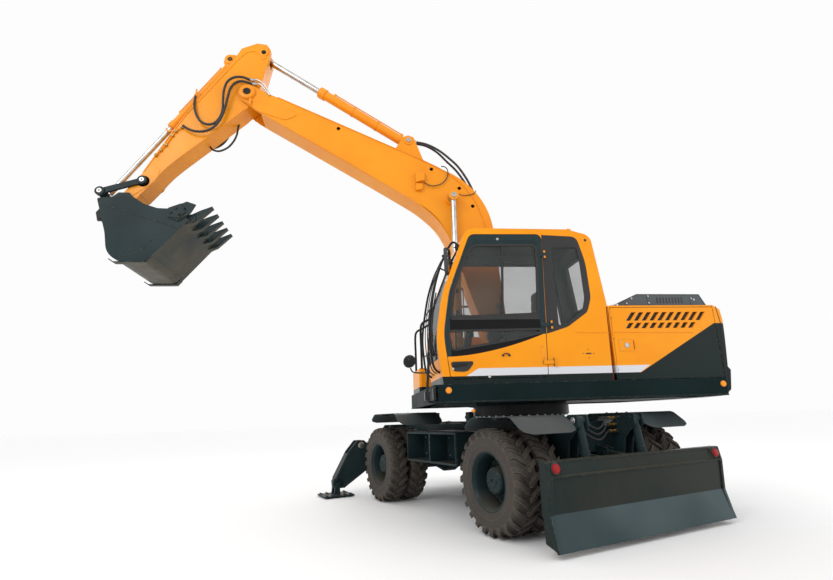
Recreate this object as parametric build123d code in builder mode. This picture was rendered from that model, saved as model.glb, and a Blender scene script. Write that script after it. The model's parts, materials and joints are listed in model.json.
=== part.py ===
"""Wheeled excavator: a swinging upper body with its digging arm on a twin-tyred carriage.

Millimetres. Z is up and the ground is z = 0. The origin lies on the ground under the swing axis.
The upper body faces -X, and its cab is on the -Y side. The carriage is drawn along its own X,
with its dozer blade at +X and its cab side at -Y, and then turned by -swing_angle under it.
"""

import os
from math import atan2, cos, degrees, pi

from build123d import *

os.makedirs("parts", exist_ok=True)

# Carriage driving sizes
swing_angle = 68.76
wheelbase = 2800
rear_axle_x = 890
front_axle_x = rear_axle_x - wheelbase
half_width = 1250

# Tyres: a faceted carcass with a staggered row of lugs on each shoulder
tyre_radius = 527.5
tyre_width = 278
tyre_facets = 18
carcass_radius = 500
bead_radius = 276
lug_width = 62
lug_tilt = 24
outer_tyre_y = half_width - tyre_width / 2
twin_spacing = 320
lug_top = (tyre_radius**2 - (lug_width * 0.8) ** 2) ** 0.5

# Wheels and axles
fit_gap = 0.3
rim_radius = bead_radius * cos(pi / tyre_facets) - fit_gap
rim_wall = 12
hub_radius = 150
hub_start = 860
spindle_end = hub_start - fit_gap
kingpin_y = 720
kingpin_radius = 60
knuckle_height = 176
beam_radius = 105
beam_end = 600
diff_radius = 200
running_gap = 5

# Frame of the carriage
frame_half = 340
frame_top = 1080
frame_low = 620
frame_over_axle = 800
frame_over_rear = 745
frame_front = -2725
frame_rear = 1080
turret_radius = 560
turret_top = 1174
ring_outer = 620
ring_inner = 480
ring_top = 1298

# Stabiliser beam, legs and pads
leg_x = -2850
leg_thickness = 180
beam_plate = 30
beam_gap = leg_thickness + 2 * 15
leg_pivot = (980, 550)
leg_lug = (1180, 770)
leg_foot = (1585, 165)
leg_cylinder_base = (120, 960)
leg_eye_half = 50
pad_length = 430
pad_width = 480
pad_thickness = 24
pad_clearance = 12
pad_pin_radius = 28
pad_pocket = 120
pad_pocket_depth = 45
tie_down = (640, 700)
tie_down_radius = 32

# Dozer blade on its parallel arms
blade_half = 1250
blade_end = 30
blade_pin = (1660, 310)
arm_pin = (1180, 360)
link_pin = (1180, 740)
blade_link_pin = (blade_pin[0], blade_pin[1] + link_pin[1] - arm_pin[1])
blade_lug = (1500, 485)
blade_cylinder_top = (1420, 1100)
arm_y = 420
link_y = 200
arm_half = 50
link_half = 25
ear_plate = 22

# Fenders and tool boxes
fender_plate = 8
fender_inner = 525
fender_outer = 1240
rear_fender = [(450, 1020), (665, 1165), (1319, 1165), (1535, 992)]
front_fender = [(-2230, 1130), (-2040, 1258), (-1317, 1258), (-1095, 1087)]
box_start = -1140
box_length = 1280
box_low = 615
box_high = 995
box_outer = 1120
box_wall = 20
box_recess = 260

# Upper body
side_y = 1235
deck_z = 1515
skirt_low = 1317
plate_low = 1325
plate_thickness = 35
deck_plate = 20
front_x = -1330
engine_x = 745
door_rear_x = 2055
counterweight_x = 2062
tail_radius = 2500
body_top = 2371
cheek_inner = 195
cheek_plate = 25

# Door hinges: end barrels and pin on the body, a knuckle on the door
hinge_radius = 13
hinge_pin = 7
hinge_half = 20
hinge_end = 45
hinge_clearance = 1

# Cab
cab_inner_y = 360
cab_wall = 50
glass = 6
roof_z = 3310
door_gap = 7

# Working arm: pins in the plane of the boom, as (x, z)
boom_foot = (-250, 2050)
boom_cylinder_foot = (-850, 1600)
boom_cylinder_head = (-808, 4184)
boom_tip = (-3732, 5814)
arm_cylinder_foot = (-1400, 5159)
arm_cylinder_head = (-3537, 6536)
bucket_cylinder_foot = (-4028, 6430)
rocker_pin = (-5010, 4377)
link_joint = (-5519, 4205)
bucket_pin = (-5225, 4060)
bucket_link_pin = (-5455, 3850)
boom_half = 180
fork_half = 165
arm_half_width = 150
boom_cylinder_y = 286
pin_radius = 40
pin_gap = 0.05
bucket_half = 550
bucket_ear_y = 190
lifting_eye = (-5290, 3600)
lifting_eye_radius = 24
lifting_lug_half = 15

# Least length of each rod that stays in its barrel
rod_grip = 60


def at_y(y):
    """Upright plane at y, with its own x along X and its own y along Z."""
    return Plane(origin=(0, y, 0), x_dir=(1, 0, 0), z_dir=(0, -1, 0))


def at_x(x):
    """Upright plane at x, with its own x along Y and its own y along Z."""
    return Plane(origin=(x, 0, 0), x_dir=(0, 1, 0), z_dir=(1, 0, 0))


def slab(points, plane, thickness, rounding=0, mode=Mode.ADD):
    """Flat plate between the plane and thickness along its normal, corners rounded."""
    with BuildSketch(plane) as outline:
        Polygon(*points, align=None)
        if rounding:
            fillet(outline.vertices(), rounding)
    extrude(outline.sketch, amount=thickness, mode=mode)


def plate(points, low_y, high_y, rounding=0, mode=Mode.ADD):
    """Plate drawn as (x, z) points, from low_y to high_y."""
    slab(points, at_y(high_y), high_y - low_y, rounding, mode)


def cross_plate(points, low_x, high_x, rounding=0, mode=Mode.ADD):
    """Plate drawn as (y, z) points, from low_x to high_x."""
    slab(points, at_x(low_x), high_x - low_x, rounding, mode)


def block(low, high, mode=Mode.ADD):
    """Box between two corners."""
    size = [high[i] - low[i] for i in range(3)]
    centre = tuple((high[i] + low[i]) / 2 for i in range(3))
    with Locations(centre):
        Box(*size, mode=mode)


def round_bar(start, finish, radius, mode=Mode.ADD):
    """Round bar from one point to another."""
    start, finish = Vector(start), Vector(finish)
    along = finish - start
    with Locations(Plane(origin=start, z_dir=along).location):
        low_end = (Align.CENTER, Align.CENTER, Align.MIN)
        Cylinder(radius, along.length, align=low_end, mode=mode)


def cross_bar(pin, low_y, high_y, radius, mode=Mode.ADD):
    """Round bar along Y through a pin given as (x, z)."""
    round_bar((pin[0], low_y, pin[1]), (pin[0], high_y, pin[1]), radius, mode)


def keep(piece, label, turned=False):
    """Turn a carriage piece to its place, label it and write it."""
    if turned:
        piece.part = piece.part.rotate(Axis.Z, -swing_angle)
    piece.part.label = label
    export_step(piece.part, f"parts/{label}.step")


def mirrored_points(points):
    """A half outline of (y, z) points, closed with its mirror image about y = 0."""
    return points + [(-y, z) for y, z in reversed(points)]


def barrel(base, head, axis, length, radius, eye, half, bore, stroke, grip=rod_grip):
    """Hydraulic barrel with its base eye, gland collar and bore, from base towards head.

    The stroke is how far the rod goes in and out from rest.
    """
    base, head, axis = Vector(base), Vector(head), Vector(axis)
    along = (head - base).normalized()
    round_bar(base + along * (eye * 0.6), base + along * length, radius)
    round_bar(base + along * (length - radius * 1.4), base + along * length, radius * 1.14)
    round_bar(base - axis * half, base + axis * half, eye)
    bottom = length - stroke[0] - stroke[1] - grip - fit_gap
    round_bar(base + along * bottom, base + along * (length + 1), bore + fit_gap, Mode.SUBTRACT)


def rod(base, head, axis, length, radius, eye, half, hollow, stroke, grip=rod_grip):
    """Rod from its end inside the barrel to its head eye."""
    base, head, axis = Vector(base), Vector(head), Vector(axis)
    along = (head - base).normalized()
    inside = stroke[1] + grip
    round_bar(base + along * (length - inside), head - along * (eye * 0.6), radius)
    round_bar(head - axis * half, head + axis * half, eye)
    round_bar(head - axis * (half + 1), head + axis * (half + 1), hollow, Mode.SUBTRACT)


def hinge_ends(x, y, z, axis=(0, 0, 1)):
    """Fixed part of a hinge about the axis: two end barrels on one pin."""
    centre, axis = Vector(x, y, z), Vector(axis)
    round_bar(centre - axis * hinge_end, centre + axis * hinge_end, hinge_pin)
    for start, finish in ((-hinge_end, -hinge_half - fit_gap), (hinge_half + fit_gap, hinge_end)):
        round_bar(centre + axis * start, centre + axis * finish, hinge_radius)


def hinge_knuckle(x, y, z, axis=(0, 0, 1)):
    """Turning part of a hinge, bored for the pin."""
    centre, axis = Vector(x, y, z), Vector(axis)
    space = hinge_half + fit_gap
    round_bar(centre - axis * hinge_half, centre + axis * hinge_half, hinge_radius)
    round_bar(centre - axis * space, centre + axis * space, hinge_pin + pin_gap, Mode.SUBTRACT)


def draw_tyre():
    """One faceted tyre about the Y axis at the origin, with its lugs, centred on y = 0."""
    half = tyre_width / 2
    profile = [
        (-half + 28, bead_radius),
        (-half, (bead_radius + carcass_radius) / 2 + 10),
        (-half + 24, carcass_radius - 22),
        (-half + 70, carcass_radius),
    ]
    profile += [(-y, radius) for y, radius in reversed(profile)]
    flat_down = 90 + 180 / tyre_facets
    with BuildPart() as carcass:
        for low, high in zip(profile, profile[1:]):
            rings = []
            for y, radius in (low, high):
                with BuildSketch(Plane(origin=(0, y, 0), x_dir=(1, 0, 0), z_dir=(0, 1, 0))) as ring:
                    RegularPolygon(radius, tyre_facets, rotation=flat_down)
                rings.append(ring.sketch.faces()[0])
            loft(rings, ruled=True)
        with BuildSketch(Plane(origin=(0, -half, 0), x_dir=(1, 0, 0), z_dir=(0, 1, 0))) as bore:
            RegularPolygon(bead_radius, tyre_facets, rotation=flat_down)
        extrude(bore.sketch, amount=2 * half, mode=Mode.SUBTRACT)
        root = carcass_radius * cos(pi / tyre_facets) - 20
        lugs = []
        for row in (-1, 1):
            middle = row * half / 2
            with BuildSketch(at_x(0)) as lug_side:
                Polygon(
                    (row * 14 - middle, root),
                    (row * 14 - middle, lug_top),
                    (row * (half - 14) - middle, lug_top - 4),
                    (row * (half + 1) - middle, lug_top - 52),
                    (row * (half - 20) - middle, root - 46),
                    align=None,
                )
            lug = extrude(lug_side.sketch, amount=lug_width / 2, both=True, mode=Mode.PRIVATE)
            lug = lug.rotate(Axis.Z, row * lug_tilt).moved(Location((0, middle, 0)))
            turn = 180 / tyre_facets if row > 0 else 0
            step = 360 / tyre_facets
            lugs += [lug.rotate(Axis.Y, turn + number * step) for number in range(tyre_facets)]
        add(lugs)
    return carcass.part


tyre_shape = draw_tyre()
axle_z = -tyre_shape.bounding_box().min.Z

# Carriage frame: box beam, turret, end plates for the stabilisers and for the blade
with BuildPart() as chassis_frame:
    beam_side = [
        (frame_front, frame_over_axle),
        (box_start - 210, frame_over_axle),
        (box_start + 40, frame_low),
        (box_start + box_length, frame_low),
        (box_start + box_length + 200, frame_over_rear),
        (frame_rear, frame_over_rear),
        (frame_rear, frame_top),
        (frame_front, frame_top),
    ]
    plate(beam_side, -frame_half, frame_half)
    round_bar((0, 0, box_high + 15), (0, 0, turret_top), turret_radius)
    end_half = mirrored_points(
        [(450, 640), (890, 425), (1050, 440), (1090, 600), (640, frame_top)]
    )
    for low_x in (leg_x - beam_gap / 2 - beam_plate, leg_x + beam_gap / 2):
        cross_plate(end_half, low_x, low_x + beam_plate)
    spacer_half = beam_gap / 2 - fit_gap
    block((leg_x - spacer_half, -60, 660), (leg_x + spacer_half, 60, 900))
    outer_face = leg_x - beam_gap / 2 - beam_plate
    for side in (-1, 1):
        round_bar(
            (outer_face - 1, side * tie_down[0], tie_down[1]),
            (outer_face + beam_plate + 1, side * tie_down[0], tie_down[1]),
            tie_down_radius,
            Mode.SUBTRACT,
        )
    for side in (-1, 1):
        for pin, radius, held in (
            (leg_pivot, 45, leg_thickness / 2),
            (leg_cylinder_base, 30, leg_eye_half),
        ):
            for start in (-1, 1):
                inner = leg_x + start * (held + fit_gap)
                outer = leg_x + start * (beam_gap / 2 + beam_plate + 10)
                round_bar((inner, side * pin[0], pin[1]), (outer, side * pin[0], pin[1]), radius)
    for side in (-1, 1):
        wall = arm_y + arm_half + running_gap + ear_plate
        low, high = sorted((side * (frame_half - 20), side * wall))
        block((frame_rear - 60, low, 740), (frame_rear, high, 1000))
keep(chassis_frame, "chassis_frame", turned=True)

# Blade brackets behind the frame: plates beside the arms and the links, each with its own pins
bracket_face = frame_rear + fit_gap
arm_bracket = [
    (bracket_face, 298),
    (1250, 290),
    (1255, 400),
    (1240, 480),
    (1250, 530),
    (1330, 900),
    (1490, 1040),
    (1480, 1160),
    (1360, 1160),
    (bracket_face, 1020),
]
link_bracket = [(bracket_face, 670), (1225, 690), (1235, 790), (bracket_face, 830)]
bracket_pins = [
    # pin, middle_y, half, radius
    (arm_pin, arm_y, 80, 32),
    (blade_cylinder_top, arm_y, 80, 26),
    (link_pin, link_y, 60, 20),
]
with BuildPart() as blade_brackets:
    for side in (-1, 1):
        for middle_y, half, outline, rounding in (
            (arm_y, arm_half, arm_bracket, 12),
            (link_y, link_half, link_bracket, 0),
        ):
            for inner in (middle_y - half - running_gap - ear_plate, middle_y + half + running_gap):
                low, high = sorted((side * inner, side * (inner + ear_plate)))
                plate(outline, low, high, rounding)
    for gap, mode in ((pin_gap, Mode.SUBTRACT), (0, Mode.ADD)):
        for pin, middle_y, half, radius in bracket_pins:
            for side in (-1, 1):
                low, high = sorted((side * (middle_y - half), side * (middle_y + half)))
                cross_bar(pin, low, high, radius + gap, mode)
keep(blade_brackets, "blade_brackets", turned=True)

# Swing bearing: the ring that stays on the carriage
with BuildPart() as slew_ring:
    round_bar((0, 0, turret_top + fit_gap), (0, 0, ring_top), ring_outer)
    round_bar((0, 0, turret_top), (0, 0, ring_top + 1), ring_inner, Mode.SUBTRACT)
keep(slew_ring, "slew_ring", turned=True)

# Rear axle: rigid beam with its differential, drum housings and frame pads
with BuildPart() as rear_axle:
    with BuildSketch(at_x(rear_axle_x)) as axle_half:
        Polygon(
            (0, axle_z),
            (0, axle_z + diff_radius),
            (90, axle_z + diff_radius),
            (230, axle_z + beam_radius),
            (beam_end - 40, axle_z + beam_radius),
            (beam_end - 40, axle_z + 165),
            (beam_end + 60, axle_z + 165),
            (beam_end + 60, axle_z + 120),
            (spindle_end, axle_z + 120),
            (spindle_end, axle_z),
            align=None,
        )
    axle_line = Axis((rear_axle_x, 0, axle_z), (0, 1, 0))
    revolve(axle_half.sketch, axis=axle_line)
    mirror(about=Plane.XZ)
    for side in (-1, 1):
        low, high = sorted((side * 230, side * 335))
        block(
            (rear_axle_x - 90, low, axle_z),
            (rear_axle_x + 90, high, frame_over_rear - fit_gap),
        )
    round_bar(
        (rear_axle_x, 0, axle_z),
        (rear_axle_x - diff_radius - 80, 0, axle_z),
        70,
    )
keep(rear_axle, "rear_axle", turned=True)

# Front axle: oscillating beam whose forks hold the steering knuckles
ear_low = knuckle_height / 2 + fit_gap
with BuildPart() as front_axle:
    with BuildSketch(at_x(front_axle_x)) as steer_half:
        Polygon(
            (0, axle_z),
            (0, axle_z + diff_radius - 20),
            (90, axle_z + diff_radius - 20),
            (230, axle_z + beam_radius),
            (beam_end, axle_z + beam_radius),
            (beam_end, axle_z),
            align=None,
        )
    revolve(steer_half.sketch, axis=Axis((front_axle_x, 0, axle_z), (0, 1, 0)))
    mirror(about=Plane.XZ)
    for side in (-1, 1):
        for level in (-1, 1):
            low_z, high_z = sorted((axle_z + level * ear_low, axle_z + level * (ear_low + 45)))
            low, high = sorted((side * (beam_end - 50), side * kingpin_y))
            block((front_axle_x - 55, low, low_z), (front_axle_x + 55, high, high_z))
            round_bar(
                (front_axle_x, side * kingpin_y, low_z),
                (front_axle_x, side * kingpin_y, high_z),
                kingpin_radius,
            )
        low, high = sorted((side * (beam_end - 60), side * (beam_end + 5)))
        block(
            (front_axle_x - 55, low, axle_z - ear_low - 45),
            (front_axle_x + 55, high, axle_z + ear_low + 45),
        )
    block(
        (front_axle_x - 160, -110, axle_z),
        (front_axle_x + 160, 110, frame_over_axle - fit_gap),
    )
    round_bar(
        (front_axle_x, 0, axle_z),
        (front_axle_x + diff_radius + 80, 0, axle_z),
        70,
    )
    round_bar(
        (front_axle_x - 190, -260, axle_z + 40),
        (front_axle_x - 190, 260, axle_z + 40),
        42,
    )
    for y in (-200, 200):
        block(
            (front_axle_x - 200, y - 15, axle_z - 10),
            (front_axle_x, y + 15, axle_z + 60),
        )
keep(front_axle, "front_axle", turned=True)

# Steering knuckles: kingpin barrel with the spindle that carries a twin wheel
for side, label in ((-1, "knuckle_left"), (1, "knuckle_right")):
    with BuildPart() as knuckle:
        centre = (front_axle_x, side * kingpin_y)
        round_bar(
            (*centre, axle_z - knuckle_height / 2),
            (*centre, axle_z + knuckle_height / 2),
            kingpin_radius + 10,
        )
        round_bar(
            (front_axle_x, side * kingpin_y, axle_z),
            (front_axle_x, side * spindle_end, axle_z),
            72,
        )
        round_bar(
            (front_axle_x, side * (hub_start - 32), axle_z),
            (front_axle_x, side * spindle_end, axle_z),
            hub_radius - 10,
        )
    keep(knuckle, label, turned=True)


def draw_rim():
    """Rims of a twin wheel about the Y axis, in place along +Y, with hub, disc and hub cap."""
    inner_y = outer_tyre_y - twin_spacing
    reach = tyre_width / 2 - 28
    disc_y = outer_tyre_y - reach
    with BuildPart() as rims:
        with BuildSketch(Plane.XY) as half_section:
            with Locations((rim_radius - rim_wall / 2, (inner_y + outer_tyre_y) / 2)):
                Rectangle(rim_wall, twin_spacing + 2 * reach)
            with Locations(((rim_radius + hub_radius) / 2 - 8, disc_y - 12)):
                Rectangle(rim_radius - hub_radius + 16, 44)
            Polygon(
                (0, hub_start),
                (hub_radius, hub_start),
                (hub_radius, disc_y + 60),
                (hub_radius - 25, disc_y + 150),
                (0, disc_y + 165),
                align=None,
            )
        revolve(half_section.sketch, axis=Axis.Y)
    return rims.part


rim_shape = draw_rim()

# Twin wheels, two tyres on one pair of rims
wheel_places = (
    ("front_left", front_axle_x, -1),
    ("front_right", front_axle_x, 1),
    ("rear_left", rear_axle_x, -1),
    ("rear_right", rear_axle_x, 1),
)
for label, x, side in wheel_places:
    with BuildPart() as tyres:
        for y in (outer_tyre_y - twin_spacing, outer_tyre_y):
            add(tyre_shape.moved(Location((x, side * y, axle_z))))
    keep(tyres, f"tyres_{label}", turned=True)
    with BuildPart() as rims:
        turned_rim = rim_shape if side > 0 else rim_shape.rotate(Axis.Z, 180)
        add(turned_rim.moved(Location((x, 0, axle_z))))
    keep(rims, f"rims_{label}", turned=True)

# Fenders: bent plates over the twin tyres, each on an arm from the frame
with BuildPart() as fenders:
    for outline, post_x, post_top in (
        (rear_fender, rear_axle_x - 30, rear_fender[1][1]),
        (front_fender, front_axle_x + 210, front_fender[1][1]),
    ):
        lower = [(x, z - fender_plate) for x, z in reversed(outline)]
        for side in (-1, 1):
            low, high = sorted((side * fender_inner, side * fender_outer))
            plate(outline + lower, low, high)
            low, high = sorted((side * (frame_half - 60), side * (frame_half - 2)))
            block((post_x - 50, low, frame_top + fit_gap), (post_x + 50, high, post_top))
            low, high = sorted((side * (frame_half - 60), side * (fender_outer - 150)))
            block(
                (post_x - 50, low, post_top - fender_plate - 30),
                (post_x + 50, high, post_top - 1),
            )
keep(fenders, "fenders", turned=True)

# Tool boxes: open lockers that serve as steps, one on each side of the frame
with BuildPart() as tool_boxes:
    for side in (-1, 1):
        low, high = sorted((side * (frame_half + fit_gap), side * box_outer))
        block((box_start, low, box_low), (box_start + box_length, high, box_high))
        bay = (box_length - 3 * box_wall) / 2
        for number in range(2):
            start = box_start + box_wall + number * (bay + box_wall)
            low, high = sorted((side * (box_outer - box_recess), side * (box_outer + 1)))
            block(
                (start, low, box_low + box_wall),
                (start + bay, high, box_high - box_wall),
                Mode.SUBTRACT,
            )
keep(tool_boxes, "tool_boxes", turned=True)

# Gearbox under the frame and the shafts to both axles
with BuildPart() as drive_line:
    block((-760, -190, 440), (-340, 190, frame_low - fit_gap))
    round_bar(
        (-760, 0, axle_z),
        (front_axle_x + diff_radius + 80 + fit_gap, 0, axle_z),
        38,
    )
    round_bar(
        (-340, 0, axle_z),
        (rear_axle_x - diff_radius - 80 - fit_gap, 0, axle_z),
        38,
    )
keep(drive_line, "drive_line", turned=True)

# Dozer blade: bent mouldboard with a box top, end plates and the ears for arms and links
with BuildPart() as blade:
    board = [
        (1862, 48),
        (1783, 334),
        (1806, 630),
        (1784, 772),
        (1706, 772),
        (1706, 650),
        (1780, 630),
        (1757, 334),
        (1838, 44),
    ]
    plate(board, -blade_half, blade_half)
    end_plate = [(1838, 44), (1862, 48), (1783, 334), (1806, 630), (1784, 772), (1706, 772), (1690, 330)]
    for side in (-1, 1):
        low, high = sorted((side * (blade_half - blade_end), side * blade_half))
        plate(end_plate, low, high)
        for inner in (arm_y - arm_half - running_gap - ear_plate, arm_y + arm_half + running_gap):
            low, high = sorted((side * inner, side * (inner + ear_plate)))
            plate([(1775, 200), (1770, 430), (1640, 370), (1615, 300), (1650, 250)], low, high)
        for inner in (link_y - link_half - running_gap - ear_plate, link_y + link_half + running_gap):
            low, high = sorted((side * inner, side * (inner + ear_plate)))
            plate([(1770, 560), (1775, 740), (1640, 730), (1620, 680), (1640, 640)], low, high)
        cross_bar(blade_pin, *sorted((side * (arm_y - 80), side * (arm_y + 80))), 28)
        cross_bar(blade_link_pin, *sorted((side * (link_y - 58), side * (link_y + 58))), 20)
keep(blade, "blade", turned=True)


def pinned_bar(first, second, y, half, width, boss, bore, bored=2):
    """Bar between two pins at one y, with round ends, bored for the first one or both."""
    first_point, second_point = Vector(first[0], first[1]), Vector(second[0], second[1])
    middle = (first_point + second_point) / 2
    along = second_point - first_point
    with BuildSketch(at_y(y + half)) as outline:
        with Locations(Location((middle.X, middle.Y), degrees(atan2(along.Y, along.X)))):
            Rectangle(along.length, width)
        with Locations(first, second):
            Circle(boss)
        with Locations((first, second)[:bored]):
            Circle(bore, mode=Mode.SUBTRACT)
    extrude(outline.sketch, amount=2 * half)


# Lower arms of the blade, joined by a cross tube, with the ears of the lift cylinders
with BuildPart() as blade_arms:
    for side in (-1, 1):
        with BuildSketch(at_y(side * arm_y + arm_half)) as arm_side:
            Polygon(
                (arm_pin[0], arm_pin[1] - 55),
                (blade_pin[0], blade_pin[1] - 42),
                (blade_pin[0], blade_pin[1] + 42),
                (arm_pin[0], arm_pin[1] + 55),
                align=None,
            )
            with Locations(arm_pin):
                Circle(55)
                Circle(32 + pin_gap, mode=Mode.SUBTRACT)
            with Locations(blade_pin):
                Circle(42)
                Circle(28 + pin_gap, mode=Mode.SUBTRACT)
        extrude(arm_side.sketch, amount=2 * arm_half)
        for ear in (-1, 1):
            low, high = sorted(
                (side * arm_y + ear * (arm_half - 16), side * arm_y + ear * arm_half)
            )
            plate([(1410, 350), (1560, 340), (1545, 515), (1470, 525)], low, high)
    cross_bar((1370, 340), -arm_y, arm_y, 48)
keep(blade_arms, "blade_arms", turned=True)

# Upper links of the blade
with BuildPart() as blade_links:
    for y in (-link_y, link_y):
        pinned_bar(link_pin, blade_link_pin, y, link_half, 50, 36, 20 + pin_gap)
keep(blade_links, "blade_links", turned=True)

# Lift cylinders of the blade
blade_barrel_length = 362
blade_stroke = (213, 77)
blade_grip = 12
with BuildPart() as blade_barrels:
    for y in (-arm_y, arm_y):
        top = (blade_cylinder_top[0], y, blade_cylinder_top[1])
        lug = (blade_lug[0], y, blade_lug[1])
        barrel(top, lug, (0, 1, 0), blade_barrel_length, 44, 46, 45, 25, blade_stroke, blade_grip)
        cross_bar(blade_cylinder_top, y - 50, y + 50, 26 + pin_gap, Mode.SUBTRACT)
keep(blade_barrels, "blade_barrels", turned=True)
with BuildPart() as blade_rods:
    for y in (-arm_y, arm_y):
        top = (blade_cylinder_top[0], y, blade_cylinder_top[1])
        lug = (blade_lug[0], y, blade_lug[1])
        rod(top, lug, (0, 1, 0), blade_barrel_length, 25, 38, 26, 20, blade_stroke, blade_grip)
keep(blade_rods, "blade_rods", turned=True)

# Stabilisers: leg, pad and cylinder on each side
leg_outline = [
    (930, 440),
    (1020, 410),
    (1480, 120),
    (1640, 130),
    (1650, 230),
    (1400, 680),
    (1250, 850),
    (1130, 850),
    (905, 640),
]
leg_barrel_length = 600
leg_stroke = (366, 37)
for side, label in ((-1, "left"), (1, "right")):
    near, far = leg_x - leg_thickness / 2, leg_x + leg_thickness / 2
    with BuildPart() as outrigger:
        cross_plate([(side * y, z) for y, z in leg_outline], near, far, 30)
        low, high = sorted((side * 880, side * 1420))
        block((leg_x - 58, low, leg_pivot[1] + 100), (leg_x + 58, high, 900), Mode.SUBTRACT)
        foot = (side * leg_foot[0], leg_foot[1])
        round_bar((near - 1, *foot), (near + pad_pocket_depth, *foot), pad_pocket, Mode.SUBTRACT)
        round_bar((far - pad_pocket_depth, *foot), (far + 1, *foot), pad_pocket, Mode.SUBTRACT)
        round_bar((near, *foot), (far, *foot), pad_pin_radius + pin_gap, Mode.SUBTRACT)
    keep(outrigger, f"outrigger_{label}", turned=True)
    with BuildPart() as pad:
        low, high = sorted((side * (leg_foot[0] - pad_width / 2), side * (leg_foot[0] + pad_width / 2)))
        block(
            (leg_x - pad_length / 2, low, pad_clearance),
            (leg_x + pad_length / 2, high, pad_clearance + pad_thickness),
        )
        foot = (side * leg_foot[0], leg_foot[1])
        for low_x in (near + 5, far - 5 - 35):
            cross_plate(
                [
                    (side * (leg_foot[0] - 50), pad_clearance + pad_thickness - 1),
                    (side * (leg_foot[0] - 36), leg_foot[1] + 32),
                    (side * (leg_foot[0] + 36), leg_foot[1] + 32),
                    (side * (leg_foot[0] + 50), pad_clearance + pad_thickness - 1),
                ],
                low_x,
                low_x + 35,
            )
        round_bar((near + 5, *foot), (far - 5, *foot), pad_pin_radius)
    keep(pad, f"pad_{label}", turned=True)
    base = (leg_x, side * leg_cylinder_base[0], leg_cylinder_base[1])
    lug = (leg_x, side * leg_lug[0], leg_lug[1])
    with BuildPart() as outrigger_barrel:
        barrel(base, lug, (1, 0, 0), leg_barrel_length, 42, 46, leg_eye_half, 26, leg_stroke)
    keep(outrigger_barrel, f"outrigger_barrel_{label}", turned=True)
    with BuildPart() as outrigger_rod:
        rod(base, lug, (1, 0, 0), leg_barrel_length, 26, 40, 45, 20, leg_stroke)
    keep(outrigger_rod, f"outrigger_rod_{label}", turned=True)


# Upper frame: tray deck with skirts, bottom plate on the bearing, boom cheeks and their pins
with BuildPart() as upper_frame:
    with BuildSketch(Plane.XY.offset(skirt_low)) as deck_plan:
        middle_x = (front_x + counterweight_x) / 2
        with Locations((middle_x, 0)):
            Rectangle(counterweight_x - front_x, 2 * side_y)
        fillet(deck_plan.vertices().group_by(Axis.X)[0], 90)
    extrude(deck_plan.sketch, amount=deck_z - skirt_low)
    block(
        (front_x + 16, -side_y + 16, skirt_low - 1),
        (counterweight_x - 16, side_y - 16, deck_z - deck_plate),
        Mode.SUBTRACT,
    )
    block(
        (-1060, -ring_outer, plate_low),
        (counterweight_x - 16, ring_outer, plate_low + plate_thickness),
    )
    for x in (-1060, 700, 1900):
        block((x, -side_y + 10, plate_low), (x + 20, side_y - 10, deck_z - 5))
    round_bar((0, 0, ring_top + fit_gap), (0, 0, plate_low + 5), ring_outer - 20)
    cheek = [
        (-960, plate_low + 5),
        (-960, 1620),
        (-890, 1680),
        (-790, 1680),
        (-380, 2140),
        (-290, 2185),
        (-200, 2180),
        (-110, 2120),
        (380, deck_z),
        (380, plate_low + 5),
    ]
    for side in (-1, 1):
        low, high = sorted((side * cheek_inner, side * (cheek_inner + cheek_plate)))
        plate(cheek, low, high, 15)
        block((380, low, plate_low + 5), (counterweight_x - 20, high, deck_z - 5))
        low, high = sorted((side * (cheek_inner + 5), side * (boom_cylinder_y + 60)))
        cross_bar(boom_cylinder_foot, low, high, pin_radius)
    cross_bar(boom_foot, -cheek_inner - cheek_plate - 15, cheek_inner + cheek_plate + 15, 45)
keep(upper_frame, "upper_frame")

# Cab outline seen from its side, with the radius of each corner
cab_outline = (
    (-1230, deck_z + fit_gap, 0),
    (-1285, 2010, 1200),
    (-1200, 2520, 1200),
    (-880, roof_z, 110),
    (380, roof_z, 300),
    (640, 3240, 120),
    (738, 2370, 600),
    (700, deck_z + fit_gap, 0),
)
door_outline = (
    (-1150, 1565, 60),
    (-1205, 2060, 900),
    (-1120, 2560, 900),
    (-845, 3240, 90),
    (30, 3250, 70),
    (-50, 1565, 60),
)
upper_door_window = (
    (-1112, 2225, 50),
    (-1062, 2540, 800),
    (-808, 3170, 70),
    (-25, 3180, 60),
    (-85, 2225, 50),
)
lower_door_window = (
    (-1118, 1880, 50),
    (-1150, 2095, 50),
    (-92, 2105, 12),
    (-96, 2065, 12),
    (-420, 1990, 300),
)
rear_window = (
    (40, 2090, 40),
    (240, 2150, 200),
    (475, 2300, 90),
    (525, 2460, 300),
    (505, 2900, 900),
    (450, 3180, 60),
    (95, 3190, 50),
)
right_window = (
    (-1130, 1950, 60),
    (-1120, 2500, 500),
    (-850, 3150, 80),
    (480, 3150, 80),
    (580, 2200, 80),
    (520, 1950, 60),
)


def outline_face(corners, plane, inset=0):
    """Face from (x, z, corner radius) rows, drawn in by the inset all round."""
    with BuildSketch(plane) as face:
        Polygon(*[(x, z) for x, z, radius in corners], align=None)
        for x, z, radius in corners:
            if radius:
                fillet(face.vertices().sort_by_distance((x, z, 0))[0], radius)
        if inset:
            offset(amount=-inset, mode=Mode.REPLACE)
    return face.sketch


def cab_layer(outer_inset, inner_inset, low_y, high_y):
    """Ring between two insets of the cab outline, as a solid from low_y to high_y."""
    outer = outline_face(cab_outline, at_y(high_y), outer_inset)
    inner = outline_face(cab_outline, at_y(high_y), inner_inset)
    thickness = high_y - low_y
    with BuildPart() as layer:
        extrude(outer, amount=thickness)
        extrude(inner, amount=thickness, mode=Mode.SUBTRACT)
    return layer.part


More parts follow.
